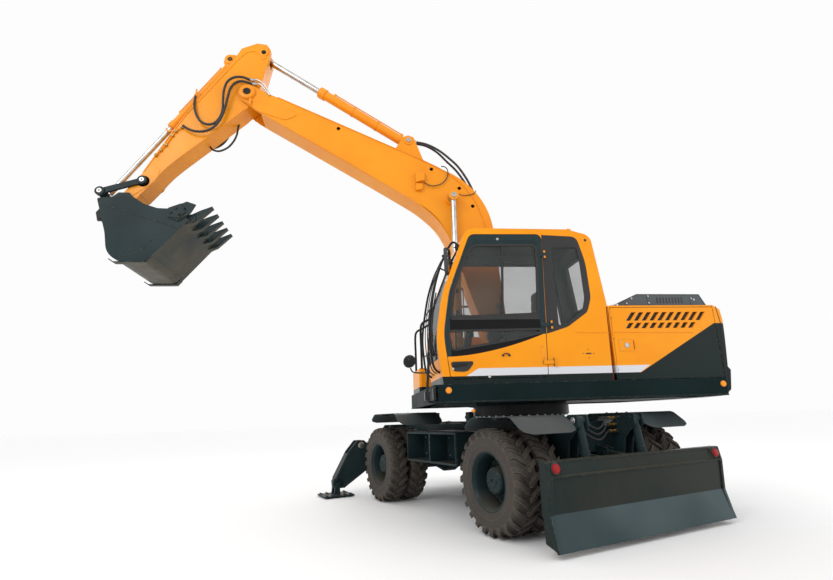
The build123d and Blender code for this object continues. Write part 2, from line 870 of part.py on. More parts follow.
# Cab shell: hollow, with the door opening, four window openings and the fixed door hinges
door_hinge = (38, -side_y - hinge_radius - 2)
door_hinge_levels = (1730, 2150, 2990)
door_hinge_pad = 45
screen_low, screen_high = 1800, 3140
with BuildPart() as cab_shell:
    extrude(outline_face(cab_outline, at_y(-cab_inner_y)), amount=side_y - cab_inner_y)
    extrude(
        outline_face(cab_outline, at_y(-cab_inner_y - cab_wall), cab_wall),
        amount=side_y - cab_inner_y - 2 * cab_wall,
        mode=Mode.SUBTRACT,
    )
    left_wall = at_y(-side_y + cab_wall + 1)
    extrude(outline_face(door_outline, left_wall), amount=cab_wall + 2, mode=Mode.SUBTRACT)
    extrude(outline_face(rear_window, left_wall), amount=cab_wall + 2, mode=Mode.SUBTRACT)
    right_wall = at_y(-cab_inner_y + 1)
    extrude(outline_face(right_window, right_wall), amount=cab_wall + 2, mode=Mode.SUBTRACT)
    block(
        (-1400, -side_y + 70, screen_low),
        (-880, -cab_inner_y - 70, screen_high),
        Mode.SUBTRACT,
    )
    block((600, -side_y + 150, 2450), (800, -cab_inner_y - 150, 3050), Mode.SUBTRACT)
    for z in door_hinge_levels:
        hinge_ends(*door_hinge, z)
        for low_z, high_z in ((-hinge_end, -hinge_half - fit_gap), (hinge_half + fit_gap, hinge_end)):
            block(
                (door_hinge[0] - hinge_radius, door_hinge[1], z + low_z),
                (door_hinge[0] + hinge_radius, -side_y + 1, z + high_z),
            )
keep(cab_shell, "cab_shell")

# Cab glass: windscreen, both side windows and the rear window
screen_layer = cab_layer(12, 12 + glass, -side_y + 70 + fit_gap, -cab_inner_y - 70 - fit_gap)
rear_layer = cab_layer(12, 12 + glass, -side_y + 150 + fit_gap, -cab_inner_y - 150 - fit_gap)
with BuildPart() as windscreen:
    add(screen_layer)
    block(
        (-1400, -side_y, screen_low + fit_gap),
        (-880, -cab_inner_y, screen_high - fit_gap),
        Mode.INTERSECT,
    )
with BuildPart() as rear_pane:
    add(rear_layer)
    block((600, -side_y, 2450 + fit_gap), (800, -cab_inner_y, 3050 - fit_gap), Mode.INTERSECT)
with BuildPart() as cab_glass:
    add(windscreen.part)
    add(rear_pane.part)
    extrude(outline_face(rear_window, at_y(-side_y + 16), fit_gap), amount=glass)
    extrude(outline_face(right_window, at_y(-cab_inner_y - 10), fit_gap), amount=glass)
keep(cab_glass, "cab_glass")


def door_edge(z):
    """Where the rear edge of the cab door stands at height z."""
    (top_x, top_z), (low_x, low_z) = door_outline[4][:2], door_outline[5][:2]
    return low_x + (z - low_z) / (top_z - low_z) * (top_x - low_x) - door_gap


# Cab door with two window openings, its glass, and its hinge knuckles at the rear seam
with BuildPart() as cab_door:
    extrude(outline_face(door_outline, at_y(-side_y + cab_wall - 5), door_gap), amount=cab_wall - 5)
    for window in (upper_door_window, lower_door_window):
        extrude(
            outline_face(window, at_y(-side_y + cab_wall)),
            amount=cab_wall + 1,
            mode=Mode.SUBTRACT,
        )
    for z in door_hinge_levels:
        pad_end = door_edge(z) - 2
        block(
            (pad_end - door_hinge_pad, door_hinge[1] + 2, z - hinge_half),
            (door_hinge[0], -side_y - 3, z + hinge_half),
        )
        block(
            (pad_end - door_hinge_pad, door_hinge[1] + 2, z - hinge_half),
            (pad_end, -side_y + 3, z + hinge_half),
        )
        hinge_knuckle(*door_hinge, z)
keep(cab_door, "cab_door")
with BuildPart() as cab_door_glass:
    for window in (upper_door_window, lower_door_window):
        extrude(outline_face(window, at_y(-side_y + 16), fit_gap), amount=glass)
keep(cab_door_glass, "cab_door_glass")

# Seat and the consoles, pedestal and steering column about it
cab_middle = -(side_y + cab_inner_y) / 2
floor_z = deck_z + cab_wall + 2 * fit_gap
seat_base = 1970
with BuildPart() as seat:
    plate(
        [
            (-430, seat_base),
            (-440, seat_base + 110),
            (20, seat_base + 100),
            (85, seat_base + 740),
            (190, seat_base + 730),
            (140, seat_base),
        ],
        cab_middle - 245,
        cab_middle + 245,
        38,
    )
keep(seat, "seat")
with BuildPart() as console:
    block(
        (-300, cab_middle - 180, floor_z),
        (130, cab_middle + 180, seat_base - fit_gap),
    )
    for side in (-1, 1):
        low, high = sorted((cab_middle + side * 260, cab_middle + side * 350))
        plate(
            [(-480, 2060), (-520, 2190), (-440, 2230), (120, 2190), (130, 1600), (-200, 1600)],
            low,
            high,
            25,
        )
        lever_y = cab_middle + side * 305
        round_bar((-455, lever_y, 2200), (-500, lever_y, 2330), 14)
        round_bar((-498, lever_y, 2325), (-520, lever_y, 2420), 24)
        bridge_low, bridge_high = sorted((cab_middle + side * 170, cab_middle + side * 265))
        block((-150, bridge_low, 1640), (100, bridge_high, 1900))
    round_bar((-925, cab_middle, floor_z + 30), (-800, cab_middle, 2230), 48)
    round_bar((-801, cab_middle, 2226), (-793, cab_middle, 2252), 175)
    block((-1000, cab_middle - 130, floor_z), (-830, cab_middle + 130, floor_z + 60))
keep(console, "console")

# Engine house: bulkhead, rear posts and top plate round the hood opening
hood_front, hood_rear, hood_half = 1062, 2245, 880
hood_hinge = (hood_front - hinge_radius - 2, body_top + hinge_radius - 1)
hood_hinge_places = (-560, 560)
side_hinge_x = engine_x + 22
side_hinge_levels = (1680, 2030, 2270)
knuckle_space = hinge_half + fit_gap
with BuildPart() as engine_house:
    block((engine_x, -side_y, deck_z + fit_gap), (engine_x + 16, side_y, body_top))
    block((engine_x, -side_y, body_top - 20), (door_rear_x, side_y, body_top))
    block(
        (hood_front + 60, -hood_half + 60, body_top - 21),
        (door_rear_x - 60, hood_half - 60, body_top + 1),
        Mode.SUBTRACT,
    )
    for side in (-1, 1):
        low, high = sorted((side * (side_y - 90), side * (side_y - 40)))
        block((door_rear_x - 50, low, deck_z + fit_gap), (door_rear_x, high, body_top))
        for z in side_hinge_levels:
            centre = (side_hinge_x, side * side_y)
            round_bar(
                (*centre, z - knuckle_space),
                (*centre, z + knuckle_space),
                hinge_radius + hinge_clearance,
                Mode.SUBTRACT,
            )
            hinge_ends(*centre, z)
    for y in hood_hinge_places:
        cross_bar(
            hood_hinge,
            y - knuckle_space,
            y + knuckle_space,
            hinge_radius + hinge_clearance,
            Mode.SUBTRACT,
        )
        hinge_ends(hood_hinge[0], y, hood_hinge[1], (0, 1, 0))
keep(engine_house, "engine_house")

# Engine: one plain block behind the bulkhead
with BuildPart() as engine_block:
    block((1150, -380, deck_z + fit_gap), (1950, 420, 2250))
keep(engine_block, "engine_block")

# Side doors of the engine house, each with two rows of leaning slots
slot_rows = (
    # first x, count, low z, high z
    (985, 10, 2190, 2290),
    (955, 9, 2100, 2165),
)
slot_pitch, slot_width, slot_lean = 97, 56, 0.62
side_door_thickness = 30
for side, label in ((-1, "left"), (1, "right")):
    low, high = sorted((side * (side_y - side_door_thickness), side * side_y))
    with BuildPart() as side_door:
        plate(
            [
                (side_hinge_x, deck_z + 6),
                (door_rear_x, deck_z + 6),
                (door_rear_x, body_top - 26),
                (side_hinge_x, body_top - 26),
            ],
            low,
            high,
            12,
        )
        for first, count, low_z, high_z in slot_rows:
            rise = (high_z - low_z) / slot_lean / 2
            for number in range(count):
                x = first + number * slot_pitch
                plate(
                    [
                        (x - rise / 2, low_z),
                        (x - rise / 2 + slot_width, low_z),
                        (x + rise / 2 + slot_width, high_z),
                        (x + rise / 2, high_z),
                    ],
                    low - 1,
                    high + 1,
                    mode=Mode.SUBTRACT,
                )
        for z in side_hinge_levels:
            centre = (side_hinge_x, side * side_y)
            for start, finish in ((-hinge_end - hinge_clearance, -hinge_half), (hinge_half, hinge_end + hinge_clearance)):
                round_bar(
                    (*centre, z + start),
                    (*centre, z + finish),
                    hinge_radius + hinge_clearance,
                    Mode.SUBTRACT,
                )
            hinge_knuckle(*centre, z)
    keep(side_door, f"side_door_{label}")

# Hood: raised cover over the engine, open below
hood_outline = [
    (hood_front, body_top + fit_gap),
    (hood_front + 15, 2480),
    (1342, 2595),
    (2190, 2590),
    (2262, 2450),
    (hood_rear, body_top + fit_gap),
]
with BuildPart() as hood:
    plate(hood_outline, -hood_half, hood_half)
    plate(
        [
            (hood_front + 16, body_top - 1),
            (hood_front + 32, 2470),
            (1348, 2580),
            (2182, 2575),
            (2246, 2448),
            (hood_rear - 16, body_top - 1),
        ],
        -hood_half + 16,
        hood_half - 16,
        mode=Mode.SUBTRACT,
    )
    for number in range(11):
        x = 1400 + number * 70
        block((x, -hood_half + 80, 2560), (x + 34, hood_half - 80, 2600), Mode.SUBTRACT)
    for y in hood_hinge_places:
        block(
            (hood_hinge[0], y - hinge_half, hood_hinge[1]),
            (hood_front + 8, y + hinge_half, hood_hinge[1] + hinge_radius),
        )
        hinge_knuckle(hood_hinge[0], y, hood_hinge[1], (0, 1, 0))
keep(hood, "hood")

# Counterweight: cast round tail, turned about the swing axis and cut to the body's width
with BuildPart() as counterweight:
    with BuildSketch(Plane.XZ) as tail_section:
        Polygon(
            (1500, skirt_low),
            (tail_radius - 130, skirt_low),
            (tail_radius - 62, skirt_low + 65),
            (tail_radius - 25, 1605),
            (tail_radius - 52, 1640),
            (tail_radius, 2190),
            (tail_radius - 22, 2320),
            (tail_radius - 95, body_top),
            (1500, body_top),
            align=None,
        )
    revolve(tail_section.sketch, axis=Axis.Z, revolution_arc=360)
    with BuildSketch(Plane.XY.offset(skirt_low - 1)) as tail_plan:
        Circle(tail_radius)
        with Locations(((counterweight_x + 2600) / 2, 0)):
            Rectangle(2600 - counterweight_x, 2 * side_y, mode=Mode.INTERSECT)
        fillet(tail_plan.vertices().group_by(Axis.X)[-1], 110)
    extrude(tail_plan.sketch, amount=body_top - skirt_low + 2, mode=Mode.INTERSECT)
keep(counterweight, "counterweight")

# Right side: tool locker in front, fuel tank behind it
with BuildPart() as right_tanks:
    for low_x, high_x, top in ((-1290, -705, 1850), (-695, engine_x - 5, 2290)):
        with BuildSketch(Plane.XY.offset(deck_z + fit_gap)) as tank_plan:
            with Locations(((low_x + high_x) / 2, (400 + side_y) / 2)):
                RectangleRounded(high_x - low_x, side_y - 400, 40)
        extrude(tank_plan.sketch, amount=top - deck_z - fit_gap)
keep(right_tanks, "right_tanks")

# Handrails: tube loops on the right tanks and the mirror pole at the cab's front corner
rail_radius = 17
rail_paths = (
    [(-1240, 1180, 1855), (-1240, 1180, 2500), (-760, 1180, 2760), (-300, 1180, 2760), (-300, 1180, 2295)],
    [(-1240, 470, 1855), (-1240, 470, 2500), (-760, 470, 2760), (-300, 470, 2760), (-300, 470, 2295)],
    [(-1300, -1180, deck_z + 1), (-1300, -1180, 1760), (-1560, -1300, 1790), (-1560, -1300, 1900)],
)
with BuildPart() as handrails:
    for path in rail_paths:
        with BuildLine() as rail_line:
            FilletPolyline(*path, radius=60)
        with BuildSketch(Plane(origin=path[0], z_dir=(0, 0, 1))):
            Circle(rail_radius)
        sweep(path=rail_line.line)
    for y in (1180, 470):
        block((-1275, y - 35, 1850 + fit_gap), (-1205, y + 35, 1858))
        block((-335, y - 35, 2290 + fit_gap), (-265, y + 35, 2298))
    block((-1325, -1215, deck_z + fit_gap), (-1255, -1145, deck_z + 8))
keep(handrails, "handrails")

# Boom: closed box with a bent back, forked at its tip, with the ears of the arm cylinder
fork_depth = 400
with BuildPart() as boom:
    with BuildSketch(at_y(boom_half)) as boom_side:
        Polygon(
            (-125, 2070),
            (-270, 4362),
            (-3560, 5866),
            (-3690, 5960),
            (-3860, 5850),
            (-3820, 5700),
            (-3600, 5522),
            (-976, 3923),
            (-375, 2040),
            align=None,
        )
        for x, z, radius in (
            (-270, 4362, 1080),
            (-976, 3923, 900),
            (-3560, 5866, 200),
            (-3600, 5522, 300),
            (-3690, 5960, 90),
            (-3860, 5850, 80),
            (-3820, 5700, 60),
        ):
            fillet(boom_side.vertices().sort_by_distance((x, z, 0))[0], radius)
        with Locations(boom_foot):
            Circle(125)
    extrude(boom_side.sketch, amount=2 * boom_half)
    cross_bar(boom_foot, -cheek_inner + running_gap, cheek_inner - running_gap, 118)
    cross_bar(boom_foot, -boom_half - 20, boom_half + 20, 45 + pin_gap, Mode.SUBTRACT)
    cross_bar(boom_tip, -fork_half, fork_half, fork_depth, Mode.SUBTRACT)
    cross_bar(boom_tip, -fork_half - 45, fork_half + 45, 55)
    for side in (-1, 1):
        low, high = sorted((side * fork_half, side * (fork_half + 35)))
        cross_bar(boom_tip, low, high, 120)
        low, high = sorted((side * (boom_half - 10), side * (boom_cylinder_y - 45 - 6)))
        cross_bar(boom_cylinder_head, low, high, 95)
        low, high = sorted((side * 88, side * 116))
        plate(
            [(-1660, 4900), (-1480, 5215), (-1400, 5245), (-1320, 5215), (-1130, 4680)],
            low,
            high,
            30,
        )
    cross_bar(arm_cylinder_foot, -135, 135, pin_radius)
keep(boom, "boom")

# Boom cylinders, one on each side of the boom
boom_barrel_length = 1430
boom_stroke = (989, 114)
with BuildPart() as boom_barrels:
    for side in (-1, 1):
        y = side * boom_cylinder_y
        foot = (boom_cylinder_foot[0], y, boom_cylinder_foot[1])
        head = (boom_cylinder_head[0], y, boom_cylinder_head[1])
        barrel(foot, head, (0, 1, 0), boom_barrel_length, 60, 75, 45, 40, boom_stroke)
        cross_bar(boom_cylinder_foot, y - 50, y + 50, pin_radius + pin_gap, Mode.SUBTRACT)
keep(boom_barrels, "boom_barrels")
with BuildPart() as boom_rods:
    for side in (-1, 1):
        y = side * boom_cylinder_y
        foot = (boom_cylinder_foot[0], y, boom_cylinder_foot[1])
        head = (boom_cylinder_head[0], y, boom_cylinder_head[1])
        rod(foot, head, (0, 1, 0), boom_barrel_length, 40, 72, 45, 38, boom_stroke)
keep(boom_rods, "boom_rods")

# Arm: tapering box from its lever to the bucket, with ears for both cylinders
with BuildPart() as arm:
    with BuildSketch(at_y(arm_half_width)) as arm_side:
        Polygon(
            (-3590, 5700),
            (-3700, 5602),
            (-4713, 4610),
            (-5080, 4110),
            (-5310, 4110),
            (-5054, 4468),
            (-4738, 5100),
            (-4494, 5538),
            (-3961, 6385),
            (-3860, 6590),
            (-3640, 6695),
            (-3500, 6680),
            (-3440, 6590),
            (-3450, 6470),
            (-3575, 5850),
            align=None,
        )
        with Locations(boom_tip):
            Circle(165)
        with Locations(bucket_pin):
            Circle(100)
    extrude(arm_side.sketch, amount=2 * arm_half_width)
    cross_bar(boom_tip, -fork_half + running_gap, fork_half - running_gap, 118)
    cross_bar(boom_tip, -fork_half, fork_half, 55 + pin_gap, Mode.SUBTRACT)
    cross_bar(bucket_pin, -arm_half_width - 1, arm_half_width + 1, 35 + pin_gap, Mode.SUBTRACT)
    plate(
        [(-3655, 6400), (-3300, 6400), (-3300, 6850), (-3800, 6850), (-3725, 6640)],
        -66,
        66,
        mode=Mode.SUBTRACT,
    )
    for side in (-1, 1):
        low, high = sorted((side * 66, side * 96))
        plate(
            [(-3900, 6300), (-3840, 6480), (-3990, 6520), (-4090, 6490), (-4120, 6380), (-4060, 6210)],
            low,
            high,
            25,
        )
        low, high = sorted((side * arm_half_width, side * (arm_half_width + 44)))
        cross_bar(rocker_pin, low - 5 if side > 0 else low, high if side > 0 else high + 5, 30)
    cross_bar(bucket_cylinder_foot, -110, 110, 36)
keep(arm, "arm")

# Arm cylinder on the boom's back
arm_barrel_length = 1560
arm_stroke = (711, 593)
foot = (arm_cylinder_foot[0], 0, arm_cylinder_foot[1])
head = (arm_cylinder_head[0], 0, arm_cylinder_head[1])
with BuildPart() as arm_barrel:
    barrel(foot, head, (0, 1, 0), arm_barrel_length, 70, 78, 80, 45, arm_stroke)
    cross_bar(arm_cylinder_foot, -85, 85, pin_radius + pin_gap, Mode.SUBTRACT)
keep(arm_barrel, "arm_barrel")
with BuildPart() as arm_rod:
    rod(foot, head, (0, 1, 0), arm_barrel_length, 45, 72, 56, 38, arm_stroke)
keep(arm_rod, "arm_rod")

# Bucket cylinder on the arm's back
bucket_barrel_length = 1360
bucket_stroke = (419, 63)
foot = (bucket_cylinder_foot[0], 0, bucket_cylinder_foot[1])
head = (link_joint[0], 0, link_joint[1])
with BuildPart() as bucket_barrel:
    barrel(foot, head, (0, 1, 0), bucket_barrel_length, 58, 68, 58, 38, bucket_stroke)
    cross_bar(bucket_cylinder_foot, -62, 62, 36 + pin_gap, Mode.SUBTRACT)
keep(bucket_barrel, "bucket_barrel")
with BuildPart() as bucket_rod:
    rod(foot, head, (0, 1, 0), bucket_barrel_length, 38, 62, 50, 32, bucket_stroke)
keep(bucket_rod, "bucket_rod")

# Rocker links from the arm to the joint of rod and bucket link, with its two stub pins
with BuildPart() as rocker_links:
    for side in (-1, 1):
        y = side * (arm_half_width + 23)
        pinned_bar(rocker_pin, link_joint, y, 17, 78, 62, 30 + pin_gap, bored=1)
        low, high = sorted((side * 56, side * (arm_half_width + 44)))
        cross_bar(link_joint, low, high, 30)
keep(rocker_links, "rocker_links")

# Bucket link: two bars with a web between them
with BuildPart() as bucket_link:
    for side in (-1, 1):
        pinned_bar(link_joint, bucket_link_pin, side * 82, 20, 80, 56, 30 + pin_gap)
    middle = [(link_joint[i] + bucket_link_pin[i]) / 2 for i in range(2)]
    block((middle[0] - 25, -70, middle[1] - 60), (middle[0] + 25, 70, middle[1] + 40))
keep(bucket_link, "bucket_link")

# Bucket: side plates and wrapper round an open mouth, ears, teeth and side cutters
bucket_side = (
    (-5345, 3935, 20),
    (-5000, 3975, 0),
    (-4907, 3947, 0),
    (-4794, 3869, 150),
    (-4625, 3812, 150),
    (-4484, 3808, 100),
    (-4237, 3666, 0),
    (-4690, 3112, 130),
    (-5135, 3112, 250),
    (-5200, 3480, 500),
)
bucket_inside = (
    (-5316, 3915, 20),
    (-5010, 3950, 0),
    (-4990, 4200, 0),
    (-4200, 4200, 0),
    (-4237, 3720, 0),
    (-4262, 3675, 0),
    (-4700, 3136, 106),
    (-5116, 3136, 226),
    (-5176, 3484, 476),
)
with BuildPart() as bucket:
    extrude(outline_face(bucket_side, at_y(bucket_half)), amount=2 * bucket_half)
    extrude(
        outline_face(bucket_inside, at_y(bucket_half - 22)),
        amount=2 * (bucket_half - 22),
        mode=Mode.SUBTRACT,
    )
    for side in (-1, 1):
        low, high = sorted((side * (bucket_ear_y - 32), side * (bucket_ear_y - 2)))
        plate(
            [
                (-5073, 4100),
                (-5150, 4190),
                (-5285, 4190),
                (-5400, 4090),
                (-5530, 3900),
                (-5500, 3785),
                (-5310, 3800),
                (-5250, 3930),
                (-5020, 3950),
            ],
            low,
            high,
        )
        low, high = sorted((side * 106, side * (bucket_ear_y - 20)))
        cross_bar(bucket_link_pin, low, high, 32)
        low, high = sorted((side * (bucket_half - 2), side * (bucket_half + 24)))
        plate(
            [(-4490, 3693), (-4476, 3799), (-4273, 3897), (-4164, 3859), (-4224, 3737), (-4368, 3642)],
            low,
            high,
        )
    cross_bar(bucket_pin, -bucket_ear_y - 8, bucket_ear_y + 8, 35)
    cross_bar(lifting_eye, -lifting_lug_half, lifting_lug_half, 52)
    plate(
        [(-5285, 3651), (-5285, 3549), (-5200, 3490), (-5225, 3690)],
        -lifting_lug_half,
        lifting_lug_half,
    )
    cross_bar(lifting_eye, -lifting_lug_half, lifting_lug_half, lifting_eye_radius, Mode.SUBTRACT)
    for number in range(5):
        y = (number - 2) * 235
        plate(
            [(-4330, 3590), (-4262, 3672), (-4300, 3725), (-4215, 3745), (-3985, 3868), (-3975, 3850), (-4170, 3650)],
            y - 35,
            y + 35,
        )
keep(bucket, "bucket")
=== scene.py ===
"""Looks of the wheeled excavator: finishes, tyres, hoses, trim and the camera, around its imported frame."""
import json
from math import atan2, cos, pi, radians, sin, sqrt

import bmesh
import bpy
from mathutils import Matrix, Vector


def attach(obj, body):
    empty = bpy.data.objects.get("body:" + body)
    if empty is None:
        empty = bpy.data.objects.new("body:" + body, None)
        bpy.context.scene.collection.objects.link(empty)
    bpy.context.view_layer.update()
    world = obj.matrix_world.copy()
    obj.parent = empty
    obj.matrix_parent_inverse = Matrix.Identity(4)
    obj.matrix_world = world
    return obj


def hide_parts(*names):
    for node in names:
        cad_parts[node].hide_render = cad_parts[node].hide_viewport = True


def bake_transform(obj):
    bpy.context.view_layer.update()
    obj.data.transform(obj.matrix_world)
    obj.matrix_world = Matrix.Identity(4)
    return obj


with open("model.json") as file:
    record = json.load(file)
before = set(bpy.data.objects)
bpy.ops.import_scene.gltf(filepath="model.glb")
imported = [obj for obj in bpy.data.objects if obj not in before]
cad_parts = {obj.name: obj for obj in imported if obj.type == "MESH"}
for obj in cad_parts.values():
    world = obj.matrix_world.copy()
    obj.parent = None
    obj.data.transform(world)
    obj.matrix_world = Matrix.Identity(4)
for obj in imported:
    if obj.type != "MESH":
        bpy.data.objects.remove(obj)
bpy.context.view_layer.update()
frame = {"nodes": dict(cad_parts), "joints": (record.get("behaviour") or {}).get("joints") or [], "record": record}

joints = {joint["name"]: joint for joint in frame["joints"]}
pins = {name: Vector(joint["pos_m"]) for name, joint in joints.items() if "pos_m" in joint}
spin_axis = joints["wheel_rear_left_spin"]["axis"]
carriage_turn = Matrix.Rotation(-atan2(spin_axis[0], spin_axis[1]), 4, "Z")
carriage_back = carriage_turn.inverted()
X, Y, Z = Vector((1, 0, 0)), Vector((0, 1, 0)), Vector((0, 0, 1))
sides = (-1, 1)


# Mesh building

def across(u, v, w):
    """Outline point (u, v) as (x, z), pushed out along y."""
    return Vector((u, w, v))


def along(u, v, w):
    """Outline point (u, v) as (y, z), pushed out along x."""
    return Vector((w, u, v))


def upward(u, v, w):
    """Outline point (u, v) as (x, y), pushed out along z."""
    return Vector((u, v, w))


def span(side, near, far):
    """Low and high end of a range beside the middle plane."""
    return sorted((side * near, side * far))


def turns(count, start=0.0):
    """Angles of a full turn in equal steps."""
    return [2 * pi * (i + start) / count for i in range(count)]


def rounded(corners, steps=6):
    """Outline with arcs at its corners, from rows of (u, v, radius). Plain rows stay."""
    if len(corners[0]) == 2:
        return corners
    points = []
    count = len(corners)
    for i, (u, v, radius) in enumerate(corners):
        here = Vector((u, v))
        before = Vector(corners[i - 1][:2]) - here
        after = Vector(corners[(i + 1) % count][:2]) - here
        if not radius:
            points.append((u, v))
            continue
        half = before.angle(after) / 2
        reach = min(radius / abs(sin(half) / cos(half)), 0.49 * before.length, 0.49 * after.length)
        start, end = here + before.normalized() * reach, here + after.normalized() * reach
        for step in range(steps + 1):
            t = step / steps
            points.append(tuple(start * (1 - t) ** 2 + here * 2 * t * (1 - t) + end * t**2))
    return points


def drawn_in(outline, amount):
    """Closed outline moved inward all round by the amount."""
    points = [Vector(p) for p in rounded(outline)]
    following = points[1:] + points[:1]
    turn = 1 if sum(a.x * b.y - b.x * a.y for a, b in zip(points, following)) > 0 else -1
    moved = []
    for before, here, after in zip(points[-1:] + points, points, following):
        way = ((here - before).normalized() + (after - here).normalized()).normalized()
        moved.append(tuple(here + Vector((-way.y, way.x)) * turn * amount))
    return moved


def smooth_path(points, steps=6):
    """Points on a smooth curve through the given ones."""
    points = [Vector(p) for p in points]
    ends = [points[0] * 2 - points[1]] + points + [points[-1] * 2 - points[-2]]
    path = []
    for a, b, c, d in zip(ends, ends[1:], ends[2:], ends[3:]):
        for step in range(steps):
            t = step / steps
            cubic = (2 * a - 5 * b + 4 * c - d) * t**2 + (3 * b - a - 3 * c + d) * t**3
            path.append(0.5 * (2 * b + (c - a) * t + cubic))
    return path + [points[-1]]


def heading(path, i):
    """Unit vector along a path at one of its points."""
    return (path[min(i + 1, len(path) - 1)] - path[max(i - 1, 0)]).normalized()


def square_to(axis):
    """Two unit vectors square to the axis and to each other."""
    axis = Vector(axis).normalized()
    other = Z if abs(axis.z) < 0.9 else X
    first = axis.cross(other).normalized()
    return first, axis.cross(first)


class Shape:
    """Mesh under construction, in metres."""

    def __init__(self):
        self.mesh = bmesh.new()

    def rings(self, rings, closed=False):
        """Skin between rings of points, its two ends filled or, if closed, joined."""
        made = [[self.mesh.verts.new(p) for p in ring] for ring in rings]
        if closed:
            made.append(made[0])
        count = len(made[0])
        for low, high in zip(made, made[1:]):
            for i in range(count):
                j = (i + 1) % count
                self.mesh.faces.new((low[i], low[j], high[j], high[i]))
        if not closed:
            self.mesh.faces.new(reversed(made[0]))
            self.mesh.faces.new(made[-1])
        return self

    def prism(self, outline, place, low, high):
        return self.rings([[place(u, v, w) for u, v in rounded(outline)] for w in (low, high)])

    def hoop(self, outer, inner, place, low, high):
        """Flat frame between two outlines that have as many points each."""
        rings = []
        for (a, b), (c, d) in zip(rounded(outer), rounded(inner)):
            rings.append([place(a, b, low), place(a, b, high), place(c, d, high), place(c, d, low)])
        return self.rings(rings, closed=True)

    def box(self, low, high):
        corners = [(low[0], low[1]), (high[0], low[1]), (high[0], high[1]), (low[0], high[1])]
        return self.prism(corners, upward, low[2], high[2])

    def lathe(self, profile, centre, axis, count=48, closed=False):
        """Profile rows of (radius, distance along the axis), turned about the axis."""
        axis = Vector(axis).normalized()
        first, second = square_to(axis)
        rings = []
        for radius, way in profile:
            middle = Vector(centre) + axis * way
            rings.append([middle + (first * cos(t) + second * sin(t)) * radius for t in turns(count)])
        return self.rings(rings, closed)

    def bar(self, start, finish, radius, count=24):
        start, finish = Vector(start), Vector(finish)
        way = finish - start
        return self.lathe([(radius, 0), (radius, way.length)], start, way, count)

    def bolt(self, centre, axis, radius=0.014, height=0.012):
        """Hexagon head on a washer, standing on the centre along the axis."""
        self.lathe([(radius * 1.35, 0), (radius * 1.35, height * 0.25)], centre, axis, 16)
        head = [(radius, height * 0.25), (radius, height * 0.85), (radius * 0.86, height)]
        return self.lathe(head, centre, axis, 6)

    def tube(self, path, radius, count=12):
        """Round tube along a list of points, its rings carried along without twist."""
        path = [Vector(p) for p in path]
        ways = [heading(path, i) for i in range(len(path))]
        side = square_to(ways[0])[0]
        rings = []
        for point, way in zip(path, ways):
            side = (side - way * side.dot(way)).normalized()
            other = way.cross(side)
            rings.append([point + (side * cos(t) + other * sin(t)) * radius for t in turns(count)])
        return self.rings(rings)

    def curve(self, points, radius, count=10, steps=6):
        """Round tube along a smooth curve through the points."""
        return self.tube(smooth_path(points, steps), radius, count)

    def add(self, other, matrix):
        """Copy of another shape, moved by the matrix."""
        data = bpy.data.meshes.new("copy")
        other.mesh.to_mesh(data)
        data.transform(matrix)
        self.mesh.from_mesh(data)
        bpy.data.meshes.remove(data)
        return self


def piece(shape, name, finish, body, bevel=0.0, turned=False, sharp=35, replaces=()):
    """Object made from the shape, with its finish's material and the body that it rides on."""
    if turned:
        bmesh.ops.transform(shape.mesh, matrix=carriage_turn, verts=shape.mesh.verts)
    bmesh.ops.recalc_face_normals(shape.mesh, faces=shape.mesh.faces)
    data = bpy.data.meshes.new(name)
    shape.mesh.to_mesh(data)
    shape.mesh.free()
    data.shade_smooth()
    data.set_sharp_from_angle(angle=radians(sharp))
    thing = bpy.data.objects.new(name, data)
    bpy.context.scene.collection.objects.link(thing)
    material, slot = finish
    data.materials.append(material)
    if bevel:
        edge = thing.modifiers.new("edges", "BEVEL")
        edge.width = bevel
        edge.segments = 2
        edge.limit_method = "ANGLE"
        edge.angle_limit = radians(32)
        edge.harden_normals = True
    if body:
        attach(thing, body)
    if replaces:
        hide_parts(*replaces)
    return thing


def pieces(body, turned, *rows):
    """Pieces that ride one body, from rows of (shape, name, finish, bevel)."""
    for shape, name, finish, bevel in rows:
        piece(shape, name, finish, body, bevel, turned)


# Materials

